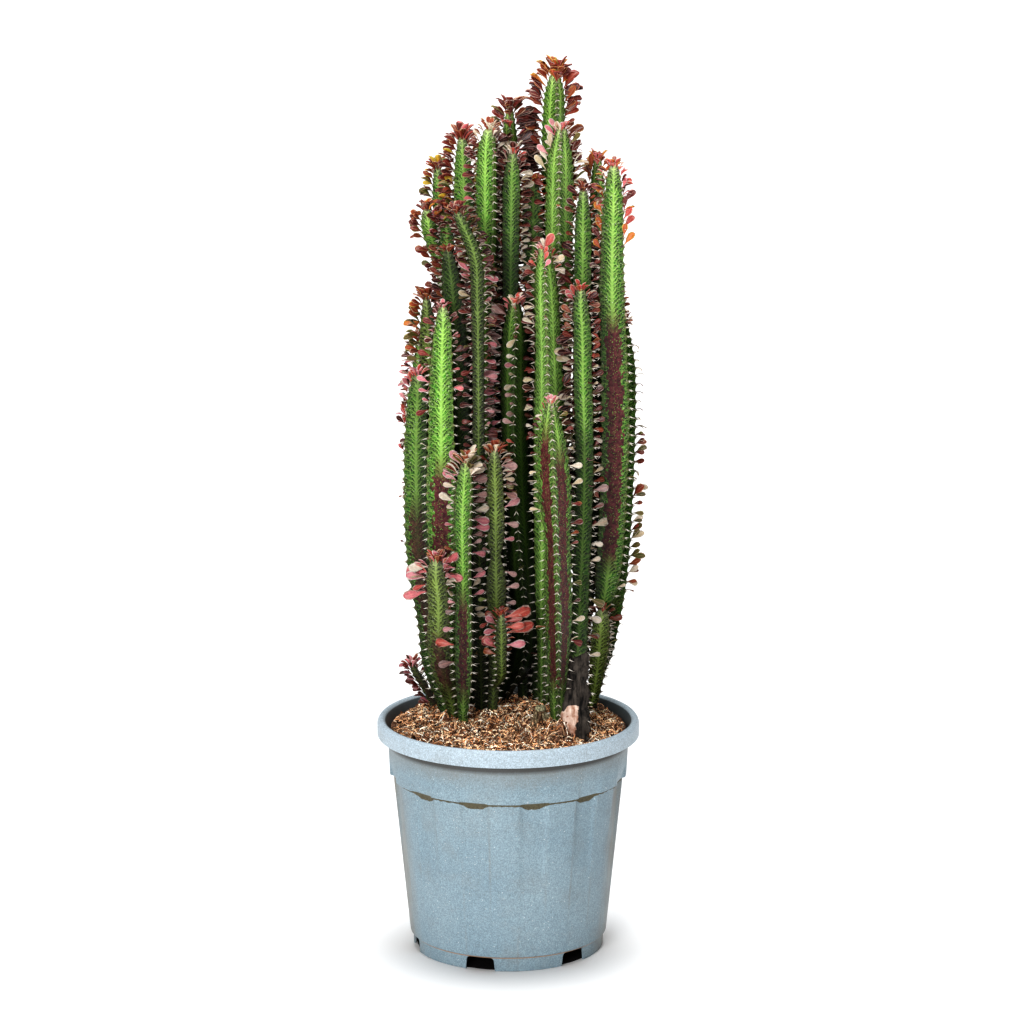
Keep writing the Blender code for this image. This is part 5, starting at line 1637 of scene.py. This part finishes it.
# %% Stub material
stub_material, tree, shader = new_material("stub_healed_cork")
place = add(tree, "TexCoord", out=3)
knots = add(tree, "TexNoise", {"Vector": place, "Scale": 160.0, "Detail": 5.0})
cracks = add(tree, "TexVoronoi", {"Vector": place, "Scale": 260.0}, feature="DISTANCE_TO_EDGE")
crack = add(tree, "MapRange", {0: cracks, 1: 0.02, 2: 0.15, 3: 0.25, 4: 1.0})
colour = add(tree, "Mix", {0: knots, 6: rgba("3a2415"), 7: rgba("b08a64")}, 2, data_type="RGBA")
cap_share = add(tree, "Attribute", {}, 2, attribute_name="cap")
colour = add(tree, "Mix", {0: cap_share, 6: colour, 7: rgba("b9b48e")}, 2, data_type="RGBA")
# painted shade: the hollow in the cap and the deepest parts of the grooves are mixed towards
# near-black
hollow_shade = add(tree, "Attribute", {}, 2, attribute_name="hollow_shade")
colour = add(tree, "VectorMath", {0: colour, "Scale": crack}, operation="SCALE")
colour = add(tree, "Mix", {0: hollow_shade, 6: colour, 7: rgba("1d130d")}, 2, data_type="RGBA")
tree.links.new(colour, shader.inputs["Base Color"])
shader.inputs["Roughness"].default_value = 0.85
tree.links.new(add(tree, "Bump", {"Strength": 0.7, "Distance": 0.0018, "Height": crack}),
               shader.inputs["Normal"])

# %% Stub shape
# radius and height in mm, from the hollow in the cap down to the foot
stub_profile = [(0, 328.0), (2.4, 327.8), (3.2, 329.6), (6.0, 329.8), (7.4, 327.6), (7.2, 324),
                (6.4, 321.5), (7.6, 317), (9.0, 310), (11.0, 303), (13.4, 297), (13.0, 290),
                (10, 283), (0, 283)]
fine_profile = split_long([Vector((r * MM, z * MM)) for r, z in stub_profile], 1.6 * MM)
STUB_STEPS, GROOVES = 40, 11
CAP_FROM, HOLLOW_RADIUS = 0.325, 0.0026
stub_points, cap_values, hollow_shade_values = [], [], []
for r, z in fine_profile:
    for k in range(STUB_STEPS):
        turn = k * 2 * math.pi / STUB_STEPS
        x, y = math.cos(turn), math.sin(turn)
        groove = 0.17 * math.sin(turn * GROOVES + 1.5 * math.sin(z * 240))
        rough_r = 1 + 0.16 * noise.noise((x * 1.6, y * 1.6, z * 110)) + 0.07 * noise.noise(
            (x * 5, y * 5, z * 330)) + groove * min(1.0, max(0.0, (0.322 - z) / 0.004))
        stub_points.append((stub_x + x * r * rough_r, stub_y + y * r * rough_r,
                            z + 0.0009 * noise.noise((x * 3, y * 3, r * 300))))
        cap_values.append(1.0 if z > CAP_FROM else 0.0)
        # painted shade: the deepest parts of the grooves are marked for darkening
        groove_shade = min(0.85, max(0.0, -groove * 7)) if z < 0.320 else 0.0
        hollow_shade_values.append(1.0 if r < HOLLOW_RADIUS and z > 0.30 else groove_shade)
stub = make_piece("woody_stub_knuckle", stub_points, ring_faces(len(fine_profile), STUB_STEPS),
                  stub_material)
paint(stub, "cap", cap_values)
paint(stub, "hollow_shade", hollow_shade_values)
face_outwards(stub, join=1e-6)
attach(stub, "root")
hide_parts("woody_stub")
print("stub triangles", triangles(stub))

# %% [markdown]
# ## Old roots at the surface
# Between the stub and the trunk a few corky roots, two to four millimetres thick, come out of
# the wood and run down into the mix. Each is a tube laid along a falling line, thinner and
# bumpier towards its end.

# %% Roots
rng = np.random.default_rng(77)
ROOTS, ROOT_STEPS, ROOT_SIDES = 44, 9, 6
trunk_foot = smooth_at(cad_rings["trunk_right"][0], np.array([0.315]))[0]
# roots come by turns from the stub and from the trunk: x, y, distance, and directions in degrees
ROOT_SOURCES = [(stub_x, stub_y, 0.009, (190, 345)),
                (trunk_foot[0] - 0.006, trunk_foot[1], 0.012, (150, 225))]
root_points, root_faces = [], []
for number in range(ROOTS):
    source_x, source_y, reach, directions = ROOT_SOURCES[number % 2]
    turn = math.radians(rng.uniform(*directions))
    high_z = rng.uniform(0.308, 0.326)
    spread = rng.uniform(7.0, 19.0) * MM
    thick = rng.uniform(0.9, 2.1) * MM
    drift = rng.uniform(-0.5, 0.5)
    root_faces += tube_faces(ROOT_STEPS, ROOT_SIDES, len(root_points))
    for step in range(ROOT_STEPS):
        t = step / (ROOT_STEPS - 1)
        r = reach + spread * t ** 1.5
        a = turn + drift * t
        x, y = source_x + r * math.cos(a), source_y + r * math.sin(a)
        z = high_z + (ground_height(x, y) - 1.0 * MM - high_z) * t ** 0.8
        slim = thick * (1 - 0.55 * t) * (1 + 0.3 * noise.noise((x * 400, y * 400, z * 400)))
        for k in range(ROOT_SIDES):
            b = k * 2 * math.pi / ROOT_SIDES
            out, up = math.cos(b) * slim, math.sin(b) * slim
            root_points.append((x - math.sin(a) * out + math.cos(a) * up,
                                y + math.cos(a) * out + math.sin(a) * up, z + up * 0.6))
roots = make_piece("surface_roots", root_points, root_faces, stub_material)
face_outwards(roots)
paint(roots, "cap", np.repeat(rng.uniform(0.0, 0.9, ROOTS), ROOT_STEPS * ROOT_SIDES))
paint(roots, "hollow_shade", np.zeros(len(root_points)))
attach(roots, "root")
print("root triangles", triangles(roots))
